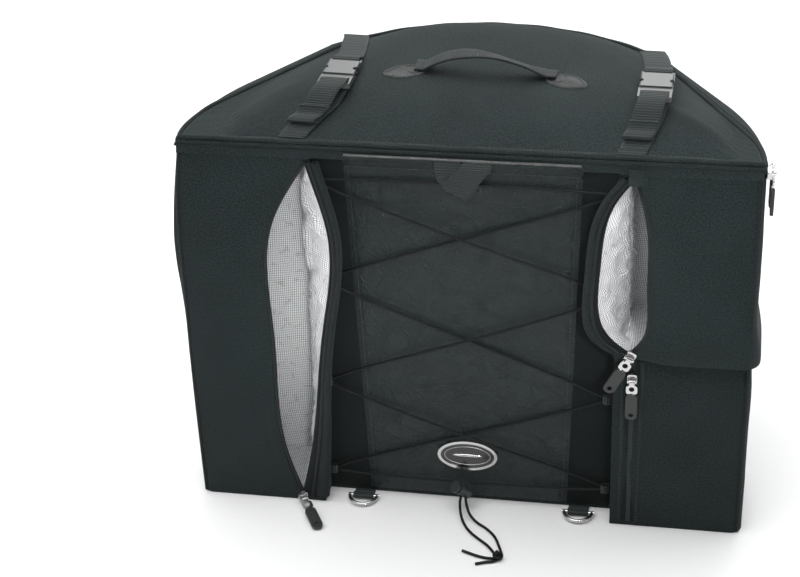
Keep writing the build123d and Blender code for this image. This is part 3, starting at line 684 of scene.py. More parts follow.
def make_lid():
    rings = np.concatenate([np.linspace(0, 0.22, 18, endpoint=False), np.linspace(0.22, 0.999, 38)])
    plan = lid_points[None] + (np.array([0, 14.0]) - lid_points)[None] * rings[:, None, None]
    z, depth = lid_height(plan[..., 0], plan[..., 1])
    walk = run_along(lid_points)
    pucker = np.sin(walk * TAU / 13 + 2.2 * np.sin(walk * TAU / 71)) * 0.35
    z = z + pucker[None] * bump_at(depth, 6, 6)
    grid = np.concatenate([plan, z[..., None]], axis=2)
    top = sheet("lid_top", grid, 4.0, TWILL, (0, 0, 300), wrap=True, cloth=plan)
    settle(top, "lid", "twill", "lid_shell")
    rows = []
    for outward, height, t in ((-1, 386.2, 0), (0.2, 384.0, 0.05), (0.4, 381, 0.55), (0.6, 378, 0.95),
                               (0, 376.6, 1.0), (-3, 376.1, 1.0), (-10, 376.1, 1.0), (-17, 376.4, 1.0)):
        ring = lid_points * (1 - t) + body_points * t
        normal = lid_normals * (1 - t) + body_normals * t
        rows.append(at_height(ring + normal * outward, height))
    band = sheet("lid_band", np.array(rows), 1.6, TWILL, (0, 0, 383), wrap=True, sharp=70)
    settle(band, "lid", "twill")
    bead = at_height(lid_points + lid_normals * 0.9, 386.3)
    bead[:, 2] += 0.3 * np.sin(walk * TAU / 47)
    piping = tube("lid_edge_piping", bead, 2.15, TWILL, closed=True, sides=12)
    settle(piping, "lid", "twill", "lid_piping")
    t = 0.36
    ring = lid_points * (1 - t) + body_points * t + (lid_normals + body_normals) / 2 * 1.2
    lower = tube("lid_edge_piping_lower", at_height(ring, 382.0), 1.9, TWILL, closed=True)
    settle(lower, "lid", "twill")
    hinge = []
    for outward, height in ((-1.4, 382.0), (-0.6, 380.0), (0.4, 377.5), (1.1, 374.5), (1.6, 371.0)):
        hinge.append([(x, BODY_FRONT - outward - 1.4 * (height < 373 and abs(x) > 141), height)
                      for x in np.linspace(-266, 266, 170)])
    flex = sheet("lid_hinge_cloth", np.array(hinge), 0.9, TWILL, (0, 20, 376), sharp=75)
    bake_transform(flex)
    seam = at_height(lid_points - lid_normals * 2.2, 0)
    seam[:, 2] = lid_height(seam[:, 0], seam[:, 1])[0] - 0.1
    settle(stitches("lid_edge_stitches", seam[3:-3], (0, 0, 1)), "lid", "twill")
    under = body_points - body_normals * 15.5
    cover = slab("lid_inner_lining", under[::3], 376.2, 377.4, LINING)
    settle(cover, "lid", "lining", "lid_lining")
    verts = [v.co / MM for v in top.data.vertices]
    return BVHTree.FromPolygons(verts, [tuple(p.vertices) for p in top.data.polygons])


LID_TREE = make_lid()


def drop(x, y):
    """Height of the lid's cloth under a point."""
    hit = LID_TREE.ray_cast(Vector((x, y, 600)), Vector((0, 0, -1)))
    return hit[0].z if hit[0] is not None else LID_EDGE


# ------------------------------------------------------------------ straps over the lid
class StrapLine:
    """Line of a strap: s runs from the front seam to the back."""

    def __init__(self, front_x, back_x, bends):
        self.bends = bends
        self.origin = np.array([front_x, STRAP_FRONT_Y])
        line = np.array([back_x, STRAP_BACK_Y]) - self.origin
        self.length = float(np.linalg.norm(line))
        self.along = line / self.length
        self.across = np.array([self.along[1], -self.along[0], 0.0])

    def at(self, s, z):
        """Point on the strap's line, drawn sideways as it leaves the buckle."""
        ahead, behind = max(0.0, 46 - s) / 46, max(0.0, s - 100) / 97
        drift = self.bends[0] * ahead ** 1.25 + self.bends[1] * behind ** 1.5
        x, y = self.origin + self.along * s + self.across[:2] * drift
        return np.array([x, y, z])

    def ground(self, s):
        middle = self.at(s, 0)[:2]
        return max(drop(*(middle + self.across[:2] * side)) for side in (-12, -6, 0, 6, 12))

    def path(self, points, step=0.6):
        line = spline([(s, z) for s, z in points], 300)
        line = resample(line, step)
        return np.array([self.at(s, z) for s, z in line])


BUCKLE_Y, BUCKLE_Z = -42.0, 418.5


def make_strap(side, front_x, back_x):
    """Webbing from both seams to the buckle's bars, with a loose end, a hem and its stitches."""
    strap = StrapLine(front_x, back_x, STRAP_BENDS[side])
    bar_rear = BUCKLE_Y - STRAP_FRONT_Y + 31.2
    bar_front = BUCKLE_Y - STRAP_FRONT_Y - 11.3
    far = strap.length + 14
    lie = [(far, strap.ground(strap.length) - 3.0)]
    for back in (0, 14, 30, 48, 66):
        here = strap.length - back
        lie.append((here, strap.ground(here) + 1.3))
    wrap = [(bar_rear + 10, BUCKLE_Z - 3.6), (bar_rear, BUCKLE_Z - 3.2), (bar_rear - 3.4, BUCKLE_Z - 0.4),
            (bar_rear - 1.0, BUCKLE_Z + 3.1), (bar_rear + 5, BUCKLE_Z + 3.0), (bar_rear + 13, BUCKLE_Z - 0.6),
            (bar_rear + 20, BUCKLE_Z - 2.2)]
    rear = ribbon(f"strap_rear_tape_{side}", strap.path(lie + wrap), strap.across, 25, 1.5, WEBBING)
    settle(rear, "lid", "webbing", f"strap_rear_{side}")
    base = [(-2, strap.ground(2) - 2.0)]
    for here in (4, 12, 22, 32):
        base.append((here, strap.ground(here) + 1.3))
    base += [(bar_front - 6, BUCKLE_Z - 4.2), (bar_front, BUCKLE_Z - 3.2), (bar_front + 3.4, BUCKLE_Z - 0.2),
             (bar_front + 1.0, BUCKLE_Z + 3.8), (bar_front - 7, BUCKLE_Z + 5.0),
             (bar_front - 17, BUCKLE_Z + 2.4)]
    end_z = strap.ground(bar_front - 40) + 3.2
    base += [(bar_front - 28, (BUCKLE_Z + end_z) / 2 + 0.6), (bar_front - 37, end_z + 2.4),
             (bar_front - 44, end_z + 0.6)]
    front = ribbon(f"strap_front_tape_{side}", strap.path(base), strap.across, 25, 1.5, WEBBING)
    settle(front, "lid", "webbing", f"strap_front_{side}")
    hem = [(bar_front - 33, (BUCKLE_Z + end_z) / 2 + 1.6), (bar_front - 38, end_z + 3.7),
           (bar_front - 45.2, end_z + 2.2), (bar_front - 46.6, end_z + 0.7), (bar_front - 44, end_z - 1.1),
           (bar_front - 37, end_z + 0.4)]
    fold = ribbon(f"strap_hem_{side}", strap.path(hem), strap.across, 25.4, 1.4, WEBBING)
    settle(fold, "lid", "webbing")
    mark = strap.at(bar_front - 34.5, (BUCKLE_Z + end_z) / 2 + 0.9)
    line = [mark + strap.across * w for w in (-11, 11)]
    settle(stitches(f"strap_hem_stitches_{side}", line, (0, 0, 1), lift=0.6), "lid", "webbing")
    for number, s0 in enumerate((2.0, 14.0)):
        line = [strap.at(s0, strap.ground(s0) + 2.2) + strap.across * w for w in (-10.5, 10.5)]
        settle(stitches(f"strap_seam_stitches_{side}_{number}", line, (0, 0, 1)), "lid", "webbing")


for strap_side, (strap_front_x, strap_back_x) in STRAPS.items():
    make_strap(strap_side, strap_front_x, strap_back_x)


# ------------------------------------------------------------------ carry handle
HANDLE_L = np.array([-49.0, -11.0])
HANDLE_R = np.array([66.0, -16.0])
PATCH_SPLAY = {-1: 24.0, 1: -20.0}


def make_handle():
    line = HANDLE_R - HANDLE_L
    length = float(np.linalg.norm(line))
    along = np.array([*(line / length), 0])
    side = np.array([-along[1], along[0], 0])
    t = np.linspace(-0.075, 1.075, 330)
    start = np.array([*HANDLE_L, 0])
    rise = 18.5 * np.sin(np.clip(t, 0, 1) ** 0.85 * math.pi) ** 1.1
    ground = np.array([drop(*(start + along * (u * length))[:2]) for u in t])
    z = ground + 4.2 + rise
    bow = -5.0 * np.sin(np.clip(t, 0, 1) * math.pi)
    path = start + along * (t * length)[:, None] + side * bow[:, None]
    path[:, 2] = z
    twist = math.radians(2) - math.radians(22) * smooth_step(t, 0.25, 0.75)
    twist = twist + math.radians(16) * smooth_step(t, 0.8, 1.0)
    across = side * np.cos(twist)[:, None] + np.array([0, 0, 1]) * np.sin(twist)[:, None]
    width = 18.5 - 2.5 * smooth_step(t, 0.3, 0.7)
    tape = ribbon("handle_tape", path, across, width, 2.4, HANDLE_TAPE, rib=0.22, pitch=2.2)
    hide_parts("handle_webbing")
    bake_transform(tape)
    return along, side


HANDLE_ALONG, HANDLE_SIDE = make_handle()


def patch_outline(a):
    """Teardrop: blunt at the handle, pointed at its outer end."""
    x = np.cos(a)
    return np.stack([21.0 * x, 12.0 * np.sin(a) * (1 - 0.30 * smooth_step(x, 0.1, 1.0))], axis=-1)


def make_patch(name, end, sign):
    turn = np.array(Matrix.Rotation(math.radians(PATCH_SPLAY[sign]), 3, "Z"))
    along = turn @ (HANDLE_ALONG * sign)
    side = turn @ (HANDLE_SIDE * sign)
    middle = np.array([*end, 0]) + along * 19.5
    angles = np.linspace(0, TAU, 72, endpoint=False)

    def on_lid(flat, lift):
        path = middle + along * flat[:, :1] + side * flat[:, 1:]
        path[:, 2] = [drop(x, y) + lift for x, y, _ in path]
        return path

    rows = []
    for scale, lift in ((1.0, -0.6), (1.0, 1.0), (0.965, 1.7), (0.90, 1.8), (0.84, 1.2), (0.6, 1.8),
                        (0.3, 2.6), (0.02, 2.8)):
        rows.append(on_lid(patch_outline(angles) * scale, lift))
    patch = sheet(name, np.array(rows), 0.8, PATCH_HIDE, (middle[0], middle[1], 350), wrap=True, sharp=60)
    ring = patch_outline(np.append(angles, 0)) * 0.85
    chevron = np.array([(-7, 8.5), (2, 0.0), (-7, -8.5)])
    for mark, line, pitch, long in (("stitches", on_lid(ring, 1.3), 2.6, 1.8),
                                    ("chevron", on_lid(chevron, 2.2), 2.2, 1.6)):
        settle(stitches(f"{name}_{mark}", line, (0, 0, 1), pitch, long), "lid", "leatherette")
    return patch


settle(make_patch("handle_patch_left", HANDLE_L, -1), "lid", "leatherette", "handle_patches")
settle(make_patch("handle_patch_right", HANDLE_R, 1), "lid", "leatherette")


# ------------------------------------------------------------------ side and back walls
def body_arc(first_y):
    """Body plan from (+x, first_y) round the back to (-x, first_y), with its outward normals."""
    keep = [i for i in range(len(body_points)) if body_points[i, 1] > first_y]
    return body_points[keep], body_normals[keep]


def make_walls():
    ring = resample(np.concatenate(body_arc(POCKET_BACK), axis=1), 6.0)[:, :2]
    ahead = np.gradient(ring, axis=0)
    normal = unit(np.stack([ahead[:, 1], -ahead[:, 0]], axis=1))
    walk = np.arange(len(ring)) * 6.0
    heights = np.concatenate([[1.0, 4.0], np.linspace(9, 362, 58), [367.0, 371.5]])
    u, v = np.meshgrid(walk, heights)
    swell = np.sin(np.clip(v / 372, 0, 1) * math.pi) ** 0.7
    ends = smooth_step(u, 0, 30) * smooth_step(walk[-1] - u, 0, 30)
    out = 3.2 * swell * ends + 1.5 * rough(np.stack([u, v, v * 0], axis=2), 85, 3) * swell
    out += 0.5 * rough(np.stack([u, v * 0.6, v * 0], axis=2), 26, 4) * swell
    grid = np.empty((len(heights), len(walk), 3))
    grid[..., :2] = ring[None] + normal[None] * out[..., None]
    grid[..., 2] = v
    wall = sheet("side_back_cloth", grid, 5.0, TWILL, (0, 20, 180))
    settle(wall, "bag", "twill", "side_and_back_wall")
    base = at_height(ring + normal * 0.6, 3.4)
    settle(tube("base_piping_back", base, 2.3, TWILL_DARK), "bag", "twill")
    for name, side in (("side_seam_right", 1), ("side_seam_left", -1)):
        line = [(side * 263.6, POCKET_BACK + 0.5, z) for z in np.linspace(3, 369, 80)]
        settle(tube(name, line, 2.4, TWILL_DARK, up=(1, 0, 0)), "bag", "twill")
    rim_ring, rim_normal = body_arc(-96)
    rim = at_height(rim_ring + rim_normal * 0.9, 364.0)
    settle(tube("rim_bead", rim, 2.0, TWILL), "bag", "twill", "rim_piping")
    seam = at_height(ring + normal * 0.4, 357.5)
    first_out = (*normal[0], 0)
    settle(stitches("rim_stitches", seam, first_out), "bag", "twill")
    arc, out = body_arc(-107)
    for name, body, low, node, edge in (("main_zip_row_lower", "bag", 372.2, "main_zip_lower", 373.2),
                                        ("main_zip_row_upper", "lid", 374.4, "main_zip_upper", 375.2)):
        rows = [at_height(arc - out * inward, low + rise)
                for inward, rise in ((0.3, 0), (0.1, 0.5), (0.3, 1.4), (7.0, 1.4))]
        tape = sheet(f"{name}_tape", np.array(rows), 0.5, TAPE_AND_RECESS_SHADE, (0, 20, low - 60))
        settle(tape, body, "zip_teeth", node)
        line = np.concatenate([at_height(arc - out * 0.1, edge), at_height(out, 0)], axis=1)
        line = resample(line, 1.7)
        places = [(q[:3], (0, 0, 1), q[3:]) for q in line]
        settle(beads(name, places, (1.7, 1.0, 1.3), TEETH), body, "zip_teeth")


make_walls()


# ------------------------------------------------------------------ front wall and laced panel
def make_front():
    x, up = np.meshgrid(np.linspace(-140.8, 140.8, 80), np.linspace(3.5, 371.5, 70))
    out = -2.0 + 0.7 * rough(np.stack([x, up, x * 0], axis=2), 60, 5)
    grid = np.array([x, PANEL_FOOT + up * math.sin(LEAN) - out * math.cos(LEAN), up * math.cos(LEAN)])
    # The front wall takes the near-black tape colour: painted shade for the recess between the pockets and
    # the panel.
    front = sheet("front_cloth", grid.transpose(1, 2, 0), 5.0, TAPE_AND_RECESS_SHADE, (0, 0, 180))
    settle(front, "bag", "twill", "front_wall")
    make_panel()
    ring = [(x, y) for x, y in body_points if y > POCKET_BACK]
    ring = [(POCKET_SIDE, POCKET_BACK)] + ring + [(-POCKET_SIDE, POCKET_BACK)]
    ring += [(-POCKET_SIDE, -127.5), (POCKET_SIDE, -127.5)]
    settle(slab("base_cloth", ring, 0.2, 5.0, TWILL), "bag", "twill", "base_panel")


def make_panel():
    """Leatherette panel that the cord laces over: hemmed, puffed and softly creased."""
    across, rise = np.meshgrid(np.linspace(0, 1, 90), np.linspace(0, 1, 110))
    left = -98 - 13 * rise
    right = 98 + 10 * rise
    px = left + (right - left) * across
    pup = 5.0 + 372.5 * rise
    edge = np.minimum(np.minimum(across, 1 - across) * 200, np.minimum(rise * 372 + 3, (1 - rise) * 372 + 2))
    puff = 1.5 * smooth_step(edge, 0, 7)
    spots = np.stack([px, pup, px * 0], axis=2)
    folds = rough(np.stack([px, pup * 0.75, px * 0], axis=2), 62, 6)
    creases = np.abs(rough(spots + 40, 38, 7))
    wrinkle = 1.0 * folds - 1.5 * np.exp(-(creases / 0.06) ** 2) * smooth_step(folds, -0.2, 0.3)
    hem = 1.6 * bump_at(pup, 374.0, 3.0) - 0.9 * bump_at(pup, 364.5, 1.6)
    lift = -1.5 + puff + wrinkle * smooth_step(edge, 2, 24) * 0.9 + hem
    span = right - left
    lift -= 0.8 * (bump_at(across * span, 5.0, 1.2) + bump_at((1 - across) * span, 5.0, 1.2))
    lift = np.minimum(lift, 0.55) + 1.6 * smooth_step(pup, 366, 376)
    grid = np.array([px, PANEL_FOOT + pup * math.sin(LEAN) - lift * math.cos(LEAN), pup * math.cos(LEAN)])
    grid[2] += lift * math.sin(LEAN)
    panel = sheet("laced_panel", grid.transpose(1, 2, 0), 1.4, LEATHERETTE, (0, 0, 180), sharp=60)
    settle(panel, "bag", "leatherette", "bungee_panel")
    for name, x0, x1 in (("left", -93, -106), ("right", 93, 103)):
        line = [on_panel(x0, 8, -0.9), on_panel(x1, 363, -0.9)]
        settle(stitches(f"panel_stitches_{name}", line, PANEL_OUT), "bag", "leatherette")
    # Pale fold along the panel's top: its colour is a painted highlight on the hem.
    line = np.array([on_panel(x, 376.8, 2.0 + 0.3 * math.sin(x / 17)) for x in np.linspace(-109, 106, 80)])
    settle(tube("panel_top_fold", line, 1.3, PAINTED_HIGHLIGHT_EDGE, up=(0, 0, 1)), "bag", "leatherette")
    line = [on_panel(-108, 364.5, -0.4), on_panel(105, 364.5, -0.4)]
    settle(stitches("panel_stitches_top", line, PANEL_OUT), "bag", "leatherette")


make_front()


# ------------------------------------------------------------------ pockets
class Pocket:
    """Box pocket on one side: path(z) runs from the mouth's flap round the outside to the inner wall."""

    def __init__(self, side, front, low, high, flap=None, inner=POCKET_SIDE):
        self.side, self.low, self.high = side, low, high
        self.front = of_height(front)
        self.flap = of_height(flap) if flap else None
        self.inner = inner

    def path(self, z, shrink=0.0, start=None, corner=11.0):
        """(points, marks): marks is 0 on the front, 1 on the side, 2 on the back, 3 on the inner wall."""
        y0 = float(self.front(z)) + shrink
        x_in = self.inner + shrink
        x_out = HALF_WIDTH - shrink
        y1 = POCKET_BACK - shrink
        first = start if start is not None else abs(float(self.flap(z))) if self.flap else x_in
        r = max(2.0, corner - shrink * 0.6)
        pts = [(x, y0) for x in np.linspace(first, x_out - r, 30)]
        marks = [0] * 30
        for t in np.linspace(0, TAU / 4, 8)[1:-1]:
            pts.append((x_out - r + r * math.sin(t), y0 + r - r * math.cos(t)))
            marks.append(0)
        for y in np.linspace(y0 + r, y1 - 5, 18):
            bend = max(0.0, y - BODY_FRONT)
            x = SIDE_CENTRE + math.sqrt(SIDE_RADIUS ** 2 - bend ** 2) - shrink
            pts.append((x, y))
            marks.append(1)
        rear_x = pts[-1][0]
        for x in np.linspace(rear_x - 4, x_in + 4, 18):
            pts.append((x, y1))
            marks.append(2)
        stop = float(panel_y(z)) + 3.0
        for y in np.linspace(y1 - 4, stop, 12):
            pts.append((x_in, y))
            marks.append(3)
        return np.array(pts), np.array(marks)

    def plan(self, z, **how):
        """The same path in the XY plane, on the pocket's own side."""
        return self.path(z, **how)[0] * np.array([self.side, 1])


def pocket_shell(name, pocket, node, seed, bulge=0.0, foot=0.0, crown=0.0, hem=9.0):
    """Outer cloth of a pocket, with its soft swell, corner seam and hem along the mouth."""
    low, high = pocket.low, pocket.high
    middle = np.linspace(low + 7, high - 7, int((high - low) / 5))
    heights = np.concatenate([[low + 0.5, low + 3], middle, [high - 3, high - 0.5]])
    rows, marks = [], None
    for z in heights:
        pts, marks = pocket.path(z)
        rows.append(np.column_stack([pts[:, 0] * pocket.side, pts[:, 1], np.full(len(pts), z)]))
    grid = np.array(rows)
    u = lengths(grid)[..., 0]
    z = grid[..., 2]
    swell = np.sin(np.clip((z - low) / (high - low), 0, 1) * math.pi) ** 0.6
    front = (marks == 0)[None]
    side = (marks == 1)[None]
    width = np.abs(grid[:, 29, 0] - grid[:, 0, 0])[:, None]
    f = np.clip(u / np.maximum(width, 1), 0, 1)
    out = front * (2.6 * np.sin(f * math.pi) ** 0.8 * swell)
    spots = np.stack([u, z, z * 0], axis=2)
    out = out + (front | side) * (1.1 * rough(spots, 70, seed) + 0.4 * rough(spots, 22, seed + 1)) * swell
    if pocket.flap is not None:
        out = out + front * (0.4 * smooth_step(hem - u, -1.0, 0.5) - 0.5 * bump_at(u, hem + 1.0, 1.2))
    out = out + side * bulge * bump_at(z, 290, 62) * swell
    fade = smooth_step(u, 4, 36)
    sag = foot * bump_at(z, low + 6, 26) - crown * bump_at(z, high, 16)
    out = out + (front | side) * sag * fade
    centre = np.array([pocket.side * 200, -100, (low + high) / 2])
    grid = grid + normals_from(grid, centre)[0] * out[..., None]
    grid[..., 2] = np.clip(grid[..., 2], low + 0.2, high)
    # The pocket cloth takes the darker twill copy, painted shade on the front faces.
    shell = sheet(name, grid, 4.0, TWILL_PAINTED_SHADE, centre)
    settle(shell, "bag", "twill", node)
    corner = np.array([[pocket.side * (HALF_WIDTH - 4.2), float(pocket.front(z)) + 2.0, z]
                       for z in np.linspace(low + 2, high - 3, 60)])
    settle(tube(f"{name}_corner_piping", corner, 1.9, TWILL_DARK, up=(1, 0, 0)), "bag", "twill")
    for cap, z, z0 in (("floor", low + 2.2, low), ("roof", high - 2.2, high)):
        ring = pocket.plan(z0, start=pocket.inner)
        settle(slab(f"{name}_{cap}", ring, z - 2.0, z + 2.0, TWILL_PAINTED_SHADE), "bag", "twill")


def pocket_lining(name, pocket, lip, node, seed):
    """Foil inside of a pocket: flap edge, outside, back wall, crumpled corner, inner wall and lip."""
    lip_x = of_height(lip)
    low, high = pocket.low, pocket.high
    heights = np.linspace(low + 4.5, high - 5, int((high - low) / 3.4))
    rows = []
    for z in heights:
        pts, marks = pocket.path(z, shrink=5.0)
        main = pts[marks < 3]
        corner = main[-1]
        knee = np.array([POCKET_SIDE + 5.6, float(panel_y(z)) + 2.0])
        edge = np.array([abs(float(lip_x(z))) - 0.4, float(pocket.front(z)) + 3.5])
        inner = [corner + (knee - corner) * t for t in np.linspace(0, 1, 18)[1:]]
        inner += [knee + (edge - knee) * t for t in np.linspace(0, 1, 9)[1:]]
        line = np.array(list(main) + inner)
        rows.append(np.column_stack([line[:, 0] * pocket.side, line[:, 1], np.full(len(line), z)]))
    grid = np.array(rows)
    walk = lengths(grid)
    u, z = walk[..., 0], grid[..., 2]
    centre = np.array([pocket.side * 200, -100, (low + high) / 2])
    total = u[:, -1:]
    spots = np.stack([u, z, z * 0], axis=2)
    inner = smooth_step(u, total - 95, total - 60)
    crumple = 1.0 * rough(spots, 30, seed) + 0.8 * rough(spots, 11, seed + 1)
    fold = np.abs(rough(spots, 17, seed + 2))
    depth = 0.8 + crumple * (0.5 + 0.9 * inner) + 3.4 * np.exp(-(fold / 0.16) ** 2) * inner
    last = u[:, -26:-25]
    ridge = bump_at(u - last, 1.5 + 2.0 * rough(spots, 15, seed + 3), 2.6)
    depth = depth + ridge * (4.0 + 2.0 * rough(spots, 9, seed + 4))
    fade = smooth_step(total - u, 0, 10) * smooth_step(u, 0, 8)
    grid = grid - normals_from(grid, centre)[0] * (np.clip(depth, 0.0, 9) * fade)[..., None]
    lining = sheet(name, grid, 0.8, FOIL, centre, sharp=80, cloth=walk)
    settle(lining, "bag", "foil", node)
    for cap, at in (("floor", low + 5.0), ("roof", high - 6.0)):
        ring = pocket.plan(at, shrink=6.0, start=pocket.inner + 6)
        settle(slab(f"{name}_{cap}", ring, at - 0.5, at + 0.5, FOIL), "bag", "foil")


def gusset(name, pocket, lip, edge, node, zip_node, seed):
    """Strip from the mouth's lip to the laced panel: tape, zip teeth and a rolled outer edge."""
    lip_x, edge_x = of_height(lip), of_height(edge)
    side = pocket.side
    low = max(lip[-1][1], edge[-1][1]) + 0.5
    high = min(lip[0][1], edge[0][1]) - 0.5
    heights = np.linspace(low, high, int((high - low) / 3))
    profile = [(0.50, 0.2), (0.58, 1.2), (0.68, 2.4), (0.80, 3.0), (0.92, 2.2), (1.0, 0.2), (1.02, -2.2),
               (0.98, -5.0)]
    rows, tape_rows, teeth_line = [], [], []
    for z in heights:
        a, b, y = float(lip_x(z)), float(edge_x(z)), float(pocket.front(z))
        wave = 0.5 * noise.noise(Vector((z / 17, seed, 0)))
        row = [(a + (b - a) * w, y + 0.6 - o - wave, z) for w, o in profile]
        row.append((side * 138.8, float(panel_y(z)) + 1.2, z))
        rows.append(row)
        tape_rows.append([(a + (b - a) * w, y + 0.6 - o, z) for w, o in
                          ((-0.02, -5.0), (0.0, -2.0), (0.08, -0.6), (0.25, -0.1), (0.42, 0.0), (0.56, 0.3))])
        teeth_line.append((a + (b - a) * 0.40, y + 0.4, z))
    rows, tape_rows = np.array(rows), np.array(tape_rows)
    centre = (side * 150, -60, (low + high) / 2)
    settle(sheet(name, rows, 1.6, TWILL_DARK, centre, sharp=75), "bag", "twill", node)
    settle(sheet(f"{name}_tape", tape_rows, 0.7, TAPE_AND_RECESS_SHADE, centre, sharp=75), "bag", "zip_teeth", zip_node)
    places = row_places(teeth_line, (0, -1, 0), 1.6, turned=True)
    settle(beads(f"{name}_teeth", places, (3.2, 1.0, 1.5), TEETH), "bag", "zip_teeth")


def flap_edge(name, pocket, flap):
    """Rolled hem of the mouth's free edge, with its own row of teeth on the inside."""
    x_of = of_height(flap)
    side = pocket.side
    z = np.linspace(flap[-1][1] + 1, flap[0][1] - 1, 120)
    line = np.column_stack([x_of(z), pocket.front(z) + 1.6, z])
    hem = line + np.array([side * 0.6, 0, 0])
    settle(tube(f"{name}_hem", hem, 2.3, TWILL_DARK, up=(0, 1, 0)), "bag", "twill")
    places = row_places(line + np.array([-side * 2.4, 0.4, 0]), (0, -1, 0), 1.6, turned=True)
    settle(beads(f"{name}_teeth", places, (2.6, 1.0, 1.4), TEETH), "bag", "zip_teeth")
    tape = [[(x + side * 0.5, y + 0.8, h), (x - side * 2.0, y + 1.0, h), (x - side * 3.6, y + 1.4, h)]
            for x, y, h in line]
    inside = (line[60][0], 0, 180)
    settle(sheet(f"{name}_tape", np.array(tape), 0.6, TAPE_AND_RECESS_SHADE, inside, sharp=75), "bag", "zip_teeth")


LEFT = Pocket(-1, LEFT_FRONT, 0.0, BODY_TOP, LEFT_FLAP)
UPPER = Pocket(1, UPPER_FRONT, UPPER_FOOT, BODY_TOP, UPPER_FLAP)
LOWER = Pocket(1, LOWER_FRONT, 0.0, LOWER_TOP)
pocket_shell("left_pocket_cloth", LEFT, "left_pocket_shell", 11, bulge=6.0)
pocket_shell("upper_pocket_cloth", UPPER, "upper_right_pocket_shell", 14, foot=6.0)
pocket_shell("lower_pocket_cloth", LOWER, "lower_right_pocket_shell", 17, crown=7.0)
pocket_lining("left_pocket_foil", LEFT, LEFT_LIP, "left_pocket_liner", 21)
pocket_lining("upper_pocket_foil", UPPER, UPPER_LIP, "upper_right_pocket_liner", 31)
gusset("left_gusset_cloth", LEFT, LEFT_LIP, LEFT_GUSSET, "left_pocket_gusset", "left_pocket_zip", 3.3)
gusset("upper_gusset_cloth", UPPER, UPPER_LIP, UPPER_GUSSET, "upper_right_pocket_gusset",
       "upper_right_pocket_zip", 5.1)
flap_edge("left_flap", LEFT, LEFT_FLAP)
flap_edge("upper_flap", UPPER, UPPER_FLAP)


def make_lower_zip():
    """Closed zip down the lower right pocket: one tape, meshed teeth and two hems."""
    z = np.linspace(6, 194, 100)
    y = LOWER.front(z)
    offsets = (-9.5, -7, -3.5, -1.5, 1.5, 3.5, 7, 11.5)
    rows = np.array([[(LOWER_ZIP_X + x, yy - 0.2 - 0.7 * (abs(x) < 4), zz) for x in offsets]
                     for yy, zz in zip(y, z)])
    tape = sheet("lower_zip_tape", rows, 0.6, TAPE_AND_RECESS_SHADE, (LOWER_ZIP_X, 0, 100), sharp=75)
    settle(tape, "bag", "zip_teeth", "lower_right_pocket_zip")
    for word, side in (("left", -1), ("right", 1)):
        line = np.column_stack([np.full(100, LOWER_ZIP_X + side * 0.9), y - 0.65, z])
        places = row_places(line, (0, -1, 0), 1.7, turned=True)
        settle(beads(f"lower_zip_teeth_{word}", places, (2.3, 1.1, 0.6), TEETH), "bag", "zip_teeth")
    for word, side in (("left", -1), ("right", 1)):
        line = np.column_stack([np.full(100, LOWER_ZIP_X + side * 8.5), y - 0.3, z])
        settle(tube(f"lower_zip_hem_{word}", line, 1.8, TWILL, up=(1, 0, 0)), "bag", "twill")


make_lower_zip()


# ------------------------------------------------------------------ bungee loops, grab tab, D-ring tabs
LOOP_LEVELS = (349.0, 245.0, 132.0, 28.0)
LOOP_SECTION = [(139, 0.3), (135.5, 0.6), (132.5, 1.6), (131.2, 3.4), (133, 5.2), (136, 5.3), (138.8, 4.0)]


def make_loops():
    for row, up in enumerate(LOOP_LEVELS):
        for side, word in ((-1, "left"), (1, "right")):
            line = spline([(side * x, out) for x, out in LOOP_SECTION], 40)
            path = [on_panel(x, up, out) for x, out in line]
            loop = ribbon(f"bungee_loop_{word}_{row}", path, PANEL_UP, 9, 0.9, WEBBING, rib=0.05)
            nodes = ("bungee_loops",) if row == 0 and side < 0 else ()
            settle(loop, "bag", "webbing", *nodes)


make_loops()


def make_grab_tab():
    """Wide webbing folded to a point over the top run of cord."""
    flaps = {
        "grab_tab_left": ([(-26, 378, 1.6), (-25.5, 366, 5.2), (-24, 359, 6.0), (-12, 349, 6.6),
                           (0, 341, 6.8)],
                          [(-1, 378, 1.6), (-1, 366, 5.2), (0, 357, 6.0), (3, 348, 6.6), (5, 341, 6.8)]),
        "grab_tab_right": ([(2, 378, 2.2), (-4, 369, 7.0), (-12, 361, 7.9), (-18, 354, 8.4), (-5, 344, 8.4)],
                           [(27, 378, 2.2), (25, 371, 7.0), (17, 359, 7.9), (9, 347, 8.4), (2, 340, 8.4)]),
    }
    for name, (one, two) in flaps.items():
        a, b = spline(one, 70), spline(two, 70)
        t = np.linspace(0, 1, 14)[None, :, None]
        flat = a[:, None] * (1 - t) + b[:, None] * t
        rib = 0.16 * np.sin(np.arange(70) * TAU / 3.5)
        grid = np.array([[on_panel(x, up, out + rib[k]) for x, up, out in row] for k, row in enumerate(flat)])
        tab = sheet(name, grid, 1.3, WEBBING, (0, 0, 350), sharp=75, cloth=lengths(flat)[..., ::-1])
        settle(tab, "bag", "webbing", *(("grab_tab",) if name.endswith("left") else ()))


make_grab_tab()


def make_ring_tabs():
    for number, x in enumerate((-104.0, 110.0)):
        y = -141.0
        pts = [(-128, 1.0), (-133, 0.9), (y + 2.0, 0.9), (y - 1.5, 1.0), (y - 3.0, 2.6), (y - 2.6, 5.2),
               (y, 6.3), (y + 3.0, 5.6), (y + 6.5, 3.0), (y + 11, 2.2)]
        line = resample(spline(pts, 120), 0.6)
        path = [(x, a, b) for a, b in line]
        tab = ribbon(f"ring_tab_{number}", path, (1, 0, 0), 19.5, 0.9, WEBBING, rib=0.08)
        settle(tab, "bag", "webbing", *(("d_ring_tabs",) if number == 0 else ()))


make_ring_tabs()


